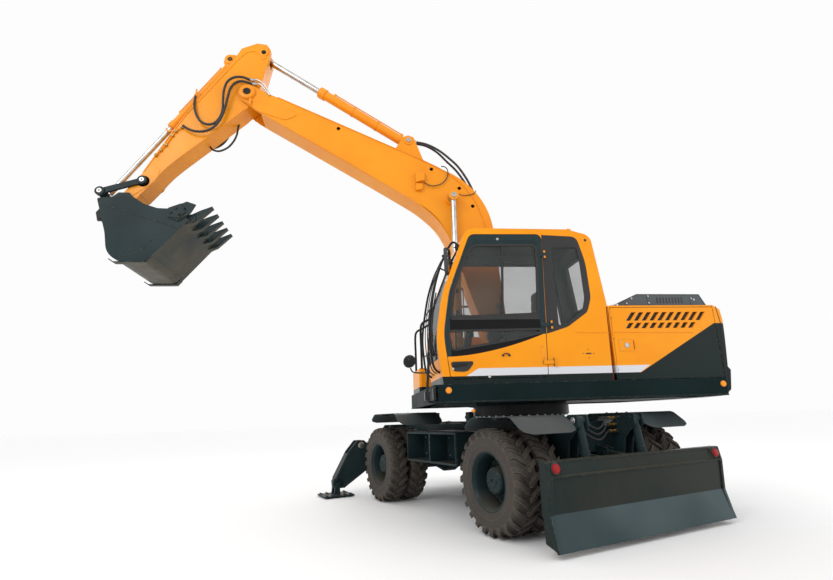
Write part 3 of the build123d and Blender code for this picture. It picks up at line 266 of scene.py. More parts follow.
class Nodes:
    """Short forms for building one material's node tree."""

    def __init__(self, name, **values):
        self.material = bpy.data.materials.new(name)
        self.material.use_nodes = True
        self.tree = self.material.node_tree
        self.shader = self.tree.nodes["Principled BSDF"]
        for label, value in values.items():
            self.shader.inputs[label.replace("_", " ")].default_value = value

    def new(self, kind, **inputs):
        node = self.tree.nodes.new(kind)
        for label, value in inputs.items():
            self.put(node.inputs[label.replace("_", " ")], value)
        return node

    def put(self, socket, value):
        if isinstance(value, bpy.types.NodeSocket):
            self.tree.links.new(value, socket)
        else:
            socket.default_value = value

    def coordinates(self, output="Object"):
        return self.new("ShaderNodeTexCoord").outputs[output]

    def axes(self, output="Object"):
        return self.new("ShaderNodeSeparateXYZ", Vector=self.coordinates(output)).outputs[:3]

    def noise(self, scale, detail=4, rough=0.55, stretch=None):
        vector = self.coordinates()
        if stretch:
            vector = self.new("ShaderNodeMapping", Vector=vector, Scale=stretch).outputs["Vector"]
        node = self.new("ShaderNodeTexNoise", Vector=vector, Scale=scale, Detail=detail, Roughness=rough)
        return node.outputs["Fac"]

    def operate(self, kind, operation, first, second, output):
        node = self.tree.nodes.new(kind)
        node.operation = operation
        self.put(node.inputs[0], first)
        self.put(node.inputs[1], second)
        return node.outputs[output]

    def maths(self, operation, first, second):
        return self.operate("ShaderNodeMath", operation, first, second, 0)

    def vectors(self, operation, first, second, output):
        return self.operate("ShaderNodeVectorMath", operation, first, second, output)

    def times(self, first, *others):
        for other in others:
            first = self.maths("MULTIPLY", first, other)
        return first

    def plus(self, first, second):
        return self.maths("ADD", first, second)

    def minus(self, first, second):
        return self.maths("SUBTRACT", first, second)

    def band(self, value, low, high):
        """0 at low, 1 at high, a straight ramp between them."""
        node = self.tree.nodes.new("ShaderNodeMapRange")
        node.clamp = True
        self.put(node.inputs["Value"], value)
        self.put(node.inputs["From Min"], low)
        self.put(node.inputs["From Max"], high)
        return node.outputs["Result"]

    def mix(self, share, first, second):
        node = self.tree.nodes.new("ShaderNodeMix")
        node.data_type = "RGBA"
        for number, value in ((0, share), (6, first), (7, second)):
            self.put(node.inputs[number], value)
        return node.outputs[2]

    def soft_normal(self, radius):
        node = self.new("ShaderNodeBevel", Radius=radius)
        node.samples = 4
        return node.outputs["Normal"]

    def edge_wear(self, radius):
        """1 on sharp edges, 0 on flat faces."""
        hard = self.new("ShaderNodeNewGeometry").outputs["Normal"]
        return self.band(self.vectors("DOT_PRODUCT", self.soft_normal(radius), hard, "Value"), 0.995, 0.9)

    def bump(self, height, distance, rounding=0.0):
        node = self.new("ShaderNodeBump", Height=height, Distance=distance, Strength=1.0)
        if rounding:
            self.put(node.inputs["Normal"], self.soft_normal(rounding))
        self.put(self.shader.inputs["Normal"], node.outputs["Normal"])

    def colour(self, value):
        self.put(self.shader.inputs["Base Color"], value)

    def rough(self, value):
        self.put(self.shader.inputs["Roughness"], value)


YELLOW = (0.86, 0.315, 0.01, 1)
YELLOW_DEEP = (0.8, 0.265, 0.007, 1)
SLATE = (0.008, 0.018, 0.02, 1)
SLATE_LIGHT = (0.018, 0.034, 0.038, 1)
LOWER_DARK = (0.006, 0.013, 0.013, 1)
STRIPE_GREY = (0.62, 0.63, 0.66, 1)
BARE_METAL = (0.3, 0.29, 0.27, 1)
DUST = (0.22, 0.17, 0.11, 1)
DRY_SOIL = (0.15, 0.115, 0.08, 1)
BELLY_SOIL = (0.085, 0.072, 0.045, 1)
BLACK = (0.006, 0.006, 0.007, 1)
LINING = (0.055, 0.068, 0.068, 1)


def scaled(colour, factor):
    return tuple(c * factor for c in colour[:3]) + (1,)


def paint(name, base, deep, dust=0.25, gloss=0.3, coat=0.06, shine=0.08, pattern=None):
    """Sprayed paint: slight waviness and colour drift, dust on flat tops, chipped edges."""
    n = Nodes(name, Specular_IOR_Level=shine, Coat_Weight=coat, Coat_Roughness=0.14)
    colour = n.mix(n.band(n.noise(1.3, 3), 0.3, 0.7), base, deep)
    if pattern:
        colour = pattern(n, colour)
    streaks = n.band(n.noise(5.0, 6, 0.65, (1, 1, 0.25)), 0.45, 0.8)
    top = n.band(n.axes("Normal")[2], 0.35, 0.95)
    dusty = n.times(n.plus(n.times(streaks, 0.22), top), dust)
    colour = n.mix(dusty, colour, DUST)
    chipped = n.times(n.edge_wear(0.007), n.band(n.noise(34, 5, 0.7), 0.5, 0.62), 0.5)
    n.colour(n.mix(chipped, colour, BARE_METAL))
    n.rough(n.plus(n.times(streaks, 0.16), n.plus(n.times(dusty, 0.4), gloss)))
    n.bump(n.noise(16, 3), 0.0009, 0.006)
    return n.material


crisp = 0.0015
stripe_low, stripe_high = 1.598, 1.679


def slope_line(n, u, v, start, end):
    """1 below the line from start to end, 0 above it, with a crisp edge."""
    rise = (end[1] - start[1]) / (end[0] - start[0])
    line = n.plus(n.times(n.minus(u, start[0]), rise), start[1])
    return n.band(n.minus(line, v), -crisp, crisp)


def side_pattern(n, colour):
    """Light stripe over the dark band along the body's foot, and the dark wedge behind it."""
    x, y, z = n.axes()
    rise = slope_line(n, z, x, (stripe_low, -0.975), (stripe_high, -0.835))
    fall = slope_line(n, z, x, (stripe_low, 1.031), (stripe_high, 1.162))
    above = n.band(z, stripe_low - crisp, stripe_low + crisp)
    below = n.band(z, stripe_high + crisp, stripe_high - crisp)
    stripe = n.times(above, below, n.minus(1.0, rise), fall)
    colour = n.mix(stripe, colour, STRIPE_GREY)
    colour = n.mix(n.minus(1.0, above), colour, LOWER_DARK)
    wedge = slope_line(n, x, z, (1.031, 1.594), (2.042, 2.152))
    behind = n.maths("MAXIMUM", n.minus(1.0, fall), n.band(x, 1.16, 1.17))
    dark = n.times(wedge, n.band(z, 2.1535, 2.1505), n.band(x, 1.0, 1.03), behind)
    return n.mix(dark, colour, LOWER_DARK)


def lined(n, colour):
    """Grey lining on the faces that look towards the middle of the cab."""
    inward = n.vectors("SUBTRACT", (-0.3, -0.8, 2.45), n.coordinates(), "Vector")
    facing = n.vectors("DOT_PRODUCT", inward, n.coordinates("Normal"), "Value")
    return n.mix(n.band(facing, 0.02, 0.04), colour, LINING)


def cab_pattern(n, colour):
    """Body stripes outside, lining inside."""
    return lined(n, side_pattern(n, colour))


def door_pattern(n, colour):
    """Dark upper frame of the cab door above a sweeping line, and the stripe at its foot."""
    x, y, z = n.axes()
    way = n.band(x, -1.171, -0.06)
    line = n.plus(n.times(n.maths("POWER", way, 1.75), 0.239), 1.811)
    above = n.band(n.minus(z, line), -crisp, crisp)
    rail = slope_line(n, x, z, (-1.124, 2.231), (-0.087, 2.272))
    middle = n.times(n.band(x, -1.1295, -1.1265), n.band(x, -0.0855, -0.0885))
    printed = n.mix(n.times(rail, middle), SLATE_LIGHT, BLACK)
    return lined(n, n.mix(above, side_pattern(n, colour), printed))


def blade_tone_and_reflection(n, colour):
    """Darker upper face, and a paler lip below the blade's bend, which is a painted reflection of the floor."""
    forward = n.band(n.axes("Normal")[1], -0.5, -0.7)
    # Paler lip on the forward faces below the bend: a painted reflection of the pale floor
    lip = n.times(forward, n.band(n.axes()[2], 0.336, 0.332))
    face = n.mix(n.band(n.noise(0.9, 3), 0.35, 0.65), (0.01, 0.019, 0.018, 1), (0.02, 0.023, 0.018, 1))
    painted_floor_reflection = n.mix(n.band(n.noise(0.7, 2), 0.4, 0.6), (0.03, 0.05, 0.054, 1), (0.06, 0.085, 0.092, 1))
    return n.mix(lip, face, painted_floor_reflection)


def bucket_pattern(n, colour):
    """Soil film on the bucket's belly."""
    belly = n.band(n.axes("Normal")[2], -0.15, -0.7)
    return n.mix(n.times(belly, n.band(n.noise(2.2, 4), 0.2, 0.75)), colour, BELLY_SOIL)


def rubber(name, colour, dusty, rough=0.75):
    n = Nodes(name)
    grain = n.noise(60, 5, 0.7)
    n.colour(n.mix(n.times(n.band(n.noise(7, 6, 0.7), 0.38, 0.72), dusty), colour, DRY_SOIL))
    n.rough(n.plus(n.times(grain, 0.2), rough - 0.1))
    n.bump(grain, 0.0012)
    return n.material


def tyre_rubber():
    """Dark rubber with brown soil in its grooves, and paler colour on the lugs' sharp edges."""
    n = Nodes("tyre_rubber")
    soil = n.band(n.noise(9, 7, 0.72), 0.36, 0.68)
    fine = n.noise(75, 5, 0.7)
    colour = n.mix(soil, (0.02, 0.017, 0.014, 1), (0.056, 0.042, 0.03, 1))
    # Paler colour on the sharp edges of the lugs
    pale_lug_edges = n.times(n.edge_wear(0.01), n.band(fine, 0.35, 0.6), 0.7)
    n.colour(n.mix(pale_lug_edges, colour, (0.21, 0.17, 0.135, 1)))
    n.rough(n.plus(n.times(soil, 0.22), 0.58))
    n.bump(n.plus(n.times(soil, 0.6), fine), 0.003, 0.005)
    return n.material


def steel(name, colour, rough):
    n = Nodes(name, Metallic=1.0)
    brushed = n.noise(40, 4, 0.6, (1, 1, 6))
    n.colour(n.mix(n.band(n.noise(12, 4), 0.4, 0.7), colour, scaled(colour, 0.7)))
    n.rough(n.plus(n.times(brushed, 0.18), rough))
    n.bump(brushed, 0.0003)
    return n.material


def plastic(name, colour, rough):
    n = Nodes(name)
    grain = n.noise(220, 3)
    n.colour(n.mix(n.band(n.noise(4, 4), 0.3, 0.7), colour, scaled(colour, 1.35)))
    n.rough(n.plus(n.times(grain, 0.15), rough))
    n.bump(grain, 0.0005)
    return n.material


def glass(name, colour, alpha):
    n = Nodes(name, Roughness=0.04, IOR=1.5, Coat_Weight=0.3)
    film = n.band(n.noise(3, 5, 0.7), 0.3, 0.8)
    n.colour(n.mix(film, colour, scaled(colour, 1.5)))
    n.put(n.shader.inputs["Alpha"], n.plus(n.times(film, 0.05), alpha))
    return n.material


def lens(name, colour, glow=0.25):
    """Moulded lamp lens with fine ribs."""
    n = Nodes(name, Roughness=0.25, Coat_Weight=0.05, Specular_IOR_Level=0.25, Emission_Strength=glow)
    n.shader.inputs["Emission Color"].default_value = colour
    ribs = n.new("ShaderNodeTexWave", Vector=n.coordinates(), Scale=90.0).outputs["Fac"]
    n.colour(n.mix(ribs, colour, scaled(colour, 0.7)))
    n.bump(ribs, 0.001)
    return n.material


def fabric(name, colour):
    n = Nodes(name, Roughness=0.9, Sheen_Weight=0.3)
    weave = n.new("ShaderNodeTexWave", Vector=n.coordinates(), Scale=160.0, Distortion=2.0).outputs["Fac"]
    n.colour(n.mix(weave, colour, scaled(colour, 1.8)))
    n.bump(weave, 0.001)
    return n.material


def yellow_paint(name, pattern=None, coat=0.1, shine=0.08):
    made = paint(name, YELLOW, YELLOW_DEEP, 0.04, coat=coat, shine=shine, pattern=pattern)
    return made, "machine_yellow"


def slate_finish(name, *values, **others):
    return paint(name, *values, **others), "slate_paint"


# Each finish is a material with the slot that it stands for
yellow = yellow_paint("machine_yellow", shine=0.2)
side_yellow = yellow_paint("side_yellow", side_pattern)
# Red-brown paint for the seam behind the cab: painted shade of the gap between the yellow panels
seam_painted_shade = (paint("seam_shade", (0.16, 0.018, 0.008, 1), (0.1, 0.012, 0.006, 1), 0.02), "machine_yellow")
cab_paint = yellow_paint("cab_paint", cab_pattern)
door_paint = yellow_paint("door_paint", door_pattern)
slate = slate_finish("slate_paint", SLATE, SLATE_LIGHT, 0.22, 0.36)
slate_pale = slate_finish("slate_pale", SLATE_LIGHT, SLATE, 0.25, 0.34)
bucket_paint = slate_finish("bucket_paint", SLATE_LIGHT, SLATE, 0.2, 0.4, pattern=bucket_pattern)
lower_dark = slate_finish("lower_dark", LOWER_DARK, SLATE, 0.05, 0.45, 0.0, 0.03)
# Mudguard slate made paler than the other slate parts: the pale tone is a painted reflection of the floor
guard_paint_and_reflection = slate_finish("guard_paint_and_reflection", (0.075, 0.092, 0.098, 1), (0.05, 0.065, 0.07, 1), 0.05)
# Blade paint with a painted reflection of the floor on its lip
blade_paint_and_reflection = slate_finish("blade_paint_and_reflection", SLATE_LIGHT, SLATE, 0.15, pattern=blade_tone_and_reflection)
black = (plastic("black_plastic", (0.012, 0.012, 0.013, 1), 0.42), "dark_plastic")
black_metal = (paint("black_metal", (0.012, 0.013, 0.014, 1), (0.02, 0.021, 0.022, 1), 0.2), "dark_metal")
hood_grey = slate_finish("hood_grey", (0.105, 0.128, 0.142, 1), (0.08, 0.1, 0.112, 1), 0.1)
chrome = (steel("chrome_rod", (0.62, 0.6, 0.57, 1), 0.1), "chrome_rod")
bare = (steel("bare_steel", (0.55, 0.53, 0.5, 1), 0.28), "bare_steel")
brass = (steel("brass_fitting", (0.55, 0.36, 0.13, 1), 0.32), "brass_fitting")
hose = (rubber("hose_rubber", (0.012, 0.013, 0.014, 1), 0.12, 0.5), "hose_rubber")
seal = (rubber("seal_rubber", (0.01, 0.01, 0.011, 1), 0.05, 0.6), "hose_rubber")
tyre = (tyre_rubber(), "tyre_rubber")
tinted = (glass("tinted_glass", (0.055, 0.065, 0.062, 1), 0.2), "tinted_glass")
amber = (lens("lamp_amber", (0.95, 0.3, 0.01, 1)), "lamp_amber")
red = (lens("lamp_red", (0.36, 0.003, 0.004, 1), 0.04), "lamp_red")
seat_cloth = (fabric("seat_fabric", (0.03, 0.032, 0.036, 1)), "seat_fabric")
mirror = (steel("mirror_face", (0.8, 0.8, 0.8, 1), 0.02), "mirror_face")

by_slot = {
    "machine_yellow": yellow, "slate_paint": slate, "dark_metal": black_metal, "chrome_rod": chrome,
    "tyre_rubber": tyre, "tinted_glass": tinted, "seat_fabric": seat_cloth, "dark_plastic": black,
}
by_node = {
    "cab_shell": cab_paint, "cab_door": door_paint, "side_door_left": side_yellow,
    "side_door_right": side_yellow, "counterweight": side_yellow, "right_tanks": side_yellow,
    "engine_house": side_yellow, "bucket": bucket_paint, "upper_frame": lower_dark, "hood": hood_grey,
    "fenders": guard_paint_and_reflection, "blade": blade_paint_and_reflection,
}
for row in frame["record"]["subparts"]:
    materials = frame["nodes"][row["node"]].data.materials
    materials.clear()
    materials.append(by_node.get(row["node"], by_slot.get(row["material_slot"]))[0])


# Tyres and rims

twin_spacing = 0.32
tread_radius = 0.498
lug_count = 24
outer_tyre = 1.111
disc_stud_circle = 0.196
cover_bolt_circle, flange_bolt_circle = 0.104, 0.154

lug_stations = (
    # across, top radius, root radius, slant, half width at root, half width at top
    (0.004, 0.519, 0.49, 0.0, 0.024, 0.019),
    (0.018, 0.5255, 0.49, 0.01, 0.029, 0.023),
    (0.062, 0.5255, 0.488, 0.044, 0.03, 0.024),
    (0.104, 0.5235, 0.482, 0.072, 0.031, 0.024),
    (0.128, 0.513, 0.47, 0.084, 0.032, 0.025),
    (0.141, 0.49, 0.455, 0.088, 0.033, 0.026),
    (0.142, 0.46, 0.44, 0.088, 0.026, 0.02),
)


def lug(side, turn):
    """One slanting lug from the tread's middle over the shoulder."""
    rings = []
    for y, top, root, slant, root_half, top_half in lug_stations:
        ring = []
        for half, radius in ((-root_half, root), (-top_half, top), (top_half, top), (root_half, root)):
            angle = turn + (slant + half) / tread_radius
            inward = 0.012 if radius == root and y > 0.12 else 0.0
            ring.append(Vector((radius * sin(angle), side * (y - inward), radius * cos(angle))))
        rings.append(ring)
    return Shape().rings(rings)


def draw_tyre():
    """Carcass with its sidewall ribs and two staggered rows of lugs, about the Y axis."""
    half = [
        (0.276, 0.108), (0.282, 0.117), (0.3, 0.124), (0.306, 0.1275), (0.312, 0.1265), (0.352, 0.1345),
        (0.358, 0.1375), (0.364, 0.1355), (0.4, 0.1375), (0.43, 0.1345), (0.436, 0.1365), (0.442, 0.133),
        (0.462, 0.126), (0.482, 0.113), (0.494, 0.09), (0.498, 0.05),
    ]
    bead = [(0.262, 0.09), (0.262, -0.09)]
    profile = [(radius, -y) for radius, y in half] + [(0.499, 0)] + half[::-1] + bead
    body = Shape().lathe(profile, (0, 0, 0), Y, 96, closed=True)
    for side in sides:
        for turn in turns(lug_count, 0.5 if side > 0 else 0):
            body.add(lug(side, turn), Matrix.Identity(4))
    return body


def draw_rims():
    """Pair of rims along +Y with the dished disc and its studs, about the Y axis."""
    inner, outer = outer_tyre - twin_spacing, outer_tyre
    edge = [(0.262, 0.095), (0.276, 0.098), (0.29, 0.112), (0.296, 0.118), (0.294, 0.124), (0.283, 0.124),
            (0.272, 0.112), (0.258, 0.098), (0.25, 0.08)]
    flange = [(radius, -y) for radius, y in edge] + edge[::-1]
    rims = Shape()
    for middle, way in ((inner, -1), (outer, 1)):
        rims.lathe([(r, y * way) for r, y in flange], (0, middle, 0), Y, 72, closed=True)
    rims.lathe([(0.262, inner + 0.1), (0.262, outer - 0.1), (0.25, outer - 0.1), (0.25, inner + 0.1)],
               (0, 0, 0), Y, 72, closed=True)
    disc = outer - 0.135
    rims.lathe([
        (0.252, disc + 0.03), (0.24, disc + 0.012), (0.215, disc + 0.004), (0.165, disc), (0.14, disc),
        (0.14, disc - 0.02), (0.165, disc - 0.02), (0.252, disc - 0.012),
    ], (0, 0, 0), Y, 72, closed=True)
    for turn in turns(8):
        x, z = disc_stud_circle * cos(turn), disc_stud_circle * sin(turn)
        rims.bar((x, disc + 0.001, z), (x, disc + 0.006, z), 0.022, 20)
    return rims


def draw_hub():
    """Planet carrier cover with its bolts, about the Y axis."""
    start, face = 0.862, outer_tyre + 0.052
    hub = Shape().lathe([
        (0.15, start), (0.15, face - 0.105), (0.146, face - 0.095), (0.138, face - 0.092),
        (0.134, face - 0.022), (0.128, face - 0.008), (0.118, face), (0.06, face + 0.002),
        (0.056, face + 0.01), (0.03, face + 0.012), (0.026, face + 0.002),
    ], (0, 0, 0), Y)
    for turn in turns(12, 0.5):
        hub.bolt((cover_bolt_circle * cos(turn), face - 0.001, cover_bolt_circle * sin(turn)), Y, 0.0085, 0.01)
    for turn in turns(10):
        x, z = flange_bolt_circle * cos(turn), flange_bolt_circle * sin(turn)
        hub.bolt((x, outer_tyre - 0.136, z), Y, 0.013, 0.024)
    return hub


tyre_form, rim_form, hub_form = draw_tyre(), draw_rims(), draw_hub()
for place in ("front_left", "front_right", "rear_left", "rear_right"):
    centre = carriage_back @ pins[f"wheel_{place}_spin"]
    out = -1 if place.endswith("left") else 1
    to_axle = Matrix.Translation((centre.x, 0, centre.z))
    flip = Matrix.Identity(4) if out > 0 else Matrix.Rotation(pi, 4, "Z")
    tyres = Shape()
    for way in (outer_tyre - twin_spacing, outer_tyre):
        tyres.add(tyre_form, to_axle @ Matrix.Translation((0, out * way, 0)) @ flip)
    wheel = f"wheel_{place}"
    piece(tyres, f"tread_{place}", tyre, wheel, turned=True, sharp=40, replaces=(f"tyres_{place}",))
    rims = Shape().add(rim_form, to_axle @ flip).add(hub_form, to_axle @ flip)
    piece(rims, f"rim_set_{place}", slate_pale, wheel, 0.0015, True, replaces=(f"rims_{place}",))


# Working arm

boom_half, arm_half = 0.18, 0.15
boom_tip, arm_foot = pins["arm_reach"], pins["arm_barrel_turn"]
rocker_pin, link_joint = pins["rocker_turn"], pins["bucket_link_turn"]
bucket_cylinder_foot = pins["bucket_barrel_turn"]
boom_cylinder_head = Vector((-0.808, 0, 4.184))
boom_cylinder_y = 0.286
arm_cylinder_head = Vector((-3.537, 0, 6.536))
pipe_lift = 0.065

# Lines of (x, z) along the plates' edges
boom_top = [(-2.6, 5.428), (-1.75, 5.04), (-1.15, 4.766), (-0.86, 4.604), (-0.64, 4.41), (-0.48, 4.18),
            (-0.375, 3.9), (-0.3, 3.5), (-0.262, 3.0)]
boom_bottom = [(-3.46, 5.45), (-2.6, 4.93), (-1.6, 4.315), (-1.24, 4.072), (-0.99, 3.82), (-0.83, 3.52)]
arm_lower = [(-3.76, 5.545), (-4.25, 5.064), (-4.7, 4.622), (-4.9, 4.35), (-5.03, 4.178)]
arm_upper = [(-4.02, 6.285), (-4.27, 5.892), (-4.49, 5.542), (-4.73, 5.105), (-5.03, 4.515)]


def at_y(points, y):
    """Points of (x, z) put in the plane at y."""
    return [(x, y, z) for x, z in points]


def plane_path(points, y, lift=0.0):
    """Smooth path in the plane at y through (x, z) points, lifted square to itself."""
    path = smooth_path(at_y(points, y), 8)
    ways = [heading(path, i) for i in range(len(path))]
    return [point + Vector((-way.z, 0, way.x)) * lift for point, way in zip(path, ways)]


def strip(shape, points, half, low, high, lift_sign):
    """Flange plate that follows a line of (x, z) points, between two lifts off it."""
    rings = []
    for a, b in zip(plane_path(points, 0, low * lift_sign), plane_path(points, 0, high * lift_sign)):
        rings.append([Vector((p.x, y, p.z)) for p, y in ((a, -half), (a, half), (b, half), (b, -half))])
    return shape.rings(rings)


def boss(shape, pin, y, out, radius, depth):
    """Bored boss ring on a side plate, from y outward by depth."""
    inner = radius * 0.52
    profile = [(inner, 0), (radius, 0), (radius, depth * 0.8), (radius * 0.94, depth), (inner, depth)]
    shape.lathe(profile, (pin.x, y, pin.z), Y * out, 40, closed=True)


def pin_end(shape, pin, y, out, radius, depth):
    """Pin's end disc with a dimple in its middle."""
    profile = [(radius, -0.004), (radius, depth), (radius * 0.88, depth + 0.004),
               (radius * 0.3, depth + 0.004), (radius * 0.24, depth - 0.003)]
    shape.lathe(profile, (pin.x, y, pin.z), Y * out, 32)


def draw_boom_trim():
    """Flanges, bosses and pins of the boom, with the wedge plates of its fork."""
    trim, steel_parts, dark = Shape(), Shape(), Shape()
    strip(trim, [(-3.3, 5.747)] + boom_top[:-1], boom_half + 0.01, -0.01, 0.002, -1)
    strip(trim, boom_bottom, boom_half + 0.01, -0.01, 0.002, 1)
    for out in sides:
        boss(trim, boom_tip, out * 0.2, out, 0.108, 0.012)
        pin_end(dark, boom_tip, out * 0.21, out, 0.052, 0.006)
        boss(trim, arm_foot, out * 0.116, out, 0.074, 0.012)
        pin_end(steel_parts, arm_foot, out * 0.135, out, 0.036, 0.004)
        rod_face = out * (boom_cylinder_y + 0.048)
        boss(trim, boom_cylinder_head, rod_face, out, 0.074, 0.012)
        pin_end(steel_parts, boom_cylinder_head, out * (boom_cylinder_y + 0.05), out, 0.04, 0.016)
        x, z = boom_cylinder_head.x, boom_cylinder_head.z
        trim.bar((x, out * 0.235, z), (x, rod_face, z), 0.036)
    for out in sides:
        trim.prism([(-3.66, 5.66, 0.03), (-3.2, 5.58, 0.1), (-2.98, 5.47, 0.05), (-3.18, 5.38, 0.05),
                    (-3.56, 5.5, 0.06), (-3.8, 5.7, 0.05)], across, *span(out, boom_half, boom_half + 0.01))
        low, high = span(out, boom_half + 0.03, boom_half + 0.042)
        trim.box((-3.69, low, 5.6), (-3.66, high, 5.7))
    pieces("boom", False, (trim, "boom_trim", yellow, 0.003), (steel_parts, "boom_pins", bare, 0.001),
           (dark, "boom_tip_pin", black_metal, 0.001))


def pipe_clamp(shape, path, at, y_low, y_high):
    """Clamp block over a set of pipes at one place of their path."""
    way = heading(path, at)
    block = Shape().box((-0.025, y_low, -0.026), (0.025, y_high, 0.026))
    for y in (y_low + 0.02, y_high - 0.02):
        block.bolt((0, y, 0.026), Z, 0.01, 0.014)
    turn = Matrix((way, Y, Vector((-way.z, 0, way.x)))).transposed().to_4x4()
    shape.add(block, Matrix.Translation((path[at].x, 0, path[at].z)) @ turn)


def draw_boom_lines():
    """Pipes along the boom's back with their clamps, the big hoses at its bend, and the work lamp."""
    pipes, clamps, dark, unions = Shape(), Shape(), Shape(), Shape()
    route = [(-3.26, 5.765)] + boom_top
    for y in (-0.16, -0.124, -0.088, 0.12, 0.156):
        line = plane_path(route, y, -pipe_lift)
        pipes.tube(line, 0.0115, 10)
        for at in (0, len(line) - 1):
            unions.lathe([(0.018, -0.02), (0.018, 0.02)], line[at], heading(line, at), 6)
    line = plane_path(route, 0, -pipe_lift)
    for at in (10, 26, 40, 50, 62):
        pipe_clamp(clamps, line, at, -0.18, -0.068)
        pipe_clamp(clamps, line, at, 0.1, 0.176)
        way = heading(line, at)
        for y in (-0.124, 0.138):
            foot = Vector((line[at].x, y, line[at].z))
            clamps.bar(foot, foot + Vector((way.z, 0, -way.x)) * (pipe_lift + 0.004), 0.012, 10)
    for y, rise in ((-0.04, 0.0), (0.04, 0.022)):
        path = smooth_path([
            (-1.3, y, 5.185 + rise), (-1.12, y, 5.15 + rise), (-0.95, y * 1.3, 5.055 + rise),
            (-0.8, y * 1.5, 4.925), (-0.66, y * 1.6, 4.775), (-0.53, y * 1.5, 4.56), (-0.44, y * 1.3, 4.345),
            (-0.375, y * 1.2, 4.16)])
        dark.tube(path, 0.017, 10)
        unions.lathe([(0.026, -0.02), (0.026, 0.03)], path[0], path[1] - path[0], 6)
        unions.lathe([(0.026, -0.03), (0.026, 0.02)], path[-1], path[-1] - path[-2], 6)
    # Near-side control line beside the boom cylinder's pin, then the work lamp with its bracket and cable
    dark.curve([(-0.835, -0.335, 4.232), (-0.76, -0.3, 4.238), (-0.66, -0.205, 4.246), (-0.5, -0.192, 4.272),
                (-0.44, -0.17, 4.34)], 0.006, 8)
    lamp = Shape().prism([(-1.325, 4.42, 0.01), (-1.195, 4.455, 0.01), (-1.195, 4.59, 0.02),
                          (-1.325, 4.575, 0.02)],
                         across, -0.245, -0.181)
    for z in (4.5, 4.53, 4.56):
        lamp.box((-1.196, -0.24, z - 0.005), (-1.188, -0.186, z + 0.005))
    bracket = Shape().prism([(-1.33, 4.3, 0.02), (-1.235, 4.315, 0.02), (-1.215, 4.4, 0.02),
                             (-1.32, 4.41, 0.01)],
                            across, -0.232, -0.181)
    dark.curve([(-1.21, -0.215, 4.432), (-1.13, -0.215, 4.385), (-1.04, -0.214, 4.38), (-0.93, -0.21, 4.43),
                (-0.86, -0.206, 4.53), (-0.85, -0.206, 4.63), (-0.885, -0.2, 4.69), (-0.94, -0.19, 4.705)],
               0.0075, 8)
    pieces("boom", False, (pipes, "boom_pipes", yellow, 0), (clamps, "boom_clamps", yellow, 0.002),
           (dark, "boom_hoses", hose, 0), (unions, "boom_unions", bare, 0),
           (lamp, "boom_lamp", yellow, 0.004), (bracket, "boom_lamp_bracket", yellow, 0.003))


def draw_arm_trim():
    """Flanges, lever plates, bosses and pins of the arm, with the tees and pipes on its back."""
    trim, dark, unions = Shape(), Shape(), Shape()
    strip(trim, arm_lower, arm_half + 0.009, -0.012, 0.002, 1)
    strip(trim, arm_upper, arm_half + 0.009, -0.012, 0.002, -1)
    lever = rounded([
        (-3.47, 6.61, 0.03), (-3.545, 6.668, 0.03), (-3.64, 6.682, 0.05), (-3.842, 6.58, 0.2),
        (-3.955, 6.365, 0.2), (-4.64, 5.29, 0.0), (-4.652, 5.262, 0.0), (-3.93, 6.34, 0.15),
        (-3.79, 6.52, 0.17), (-3.64, 6.56, 0.1), (-3.545, 6.4, 0.06), (-3.5, 6.44, 0.03),
    ], 5)
    for out in sides:
        trim.prism(lever, across, *span(out, arm_half - 0.001, arm_half + 0.008))
        for ear, y, radius in ((arm_cylinder_head, 0.15, 0.07), (bucket_cylinder_foot, 0.096, 0.08)):
            boss(trim, ear, out * y, out, radius, 0.014)
            pin_end(dark, ear, out * (y + 0.004), out, 0.032, 0.01)
        boss(trim, rocker_pin, out * arm_half, out, 0.085, 0.006)
        trim.prism([(-4.96, 4.6, 0.02), (-4.8, 4.58, 0.05), (-4.86, 4.38, 0.06), (-5.16, 4.13, 0.05),
                    (-5.24, 4.16, 0.02)], across, *span(out, arm_half, arm_half + 0.006))
    fittings = at_y([(-4.58, 5.215), (-4.66, 5.15), (-4.7, 5.08), (-4.77, 4.93), (-4.83, 4.85),
                     (-4.885, 4.77)], -0.168)
    for x, y, z in fittings:
        unions.lathe([(0.02, -0.018), (0.02, 0.018)], (x, y, z), (1, 0, 1.65), 6)
        unions.box((x - 0.016, y - 0.014, z - 0.014), (x + 0.016, y + 0.018, z + 0.014))
    trim.tube(fittings, 0.01, 8)
    trim.curve([(-4.66, -0.168, 5.15), (-4.72, -0.14, 5.17), (-4.8, -0.08, 5.2), (-4.845, -0.045, 5.265)],
               0.01, 8, 5)
    pieces("arm", False, (trim, "arm_trim", yellow, 0.002), (dark, "arm_pins", black_metal, 0.001),
           (unions, "arm_unions", brass, 0.001))


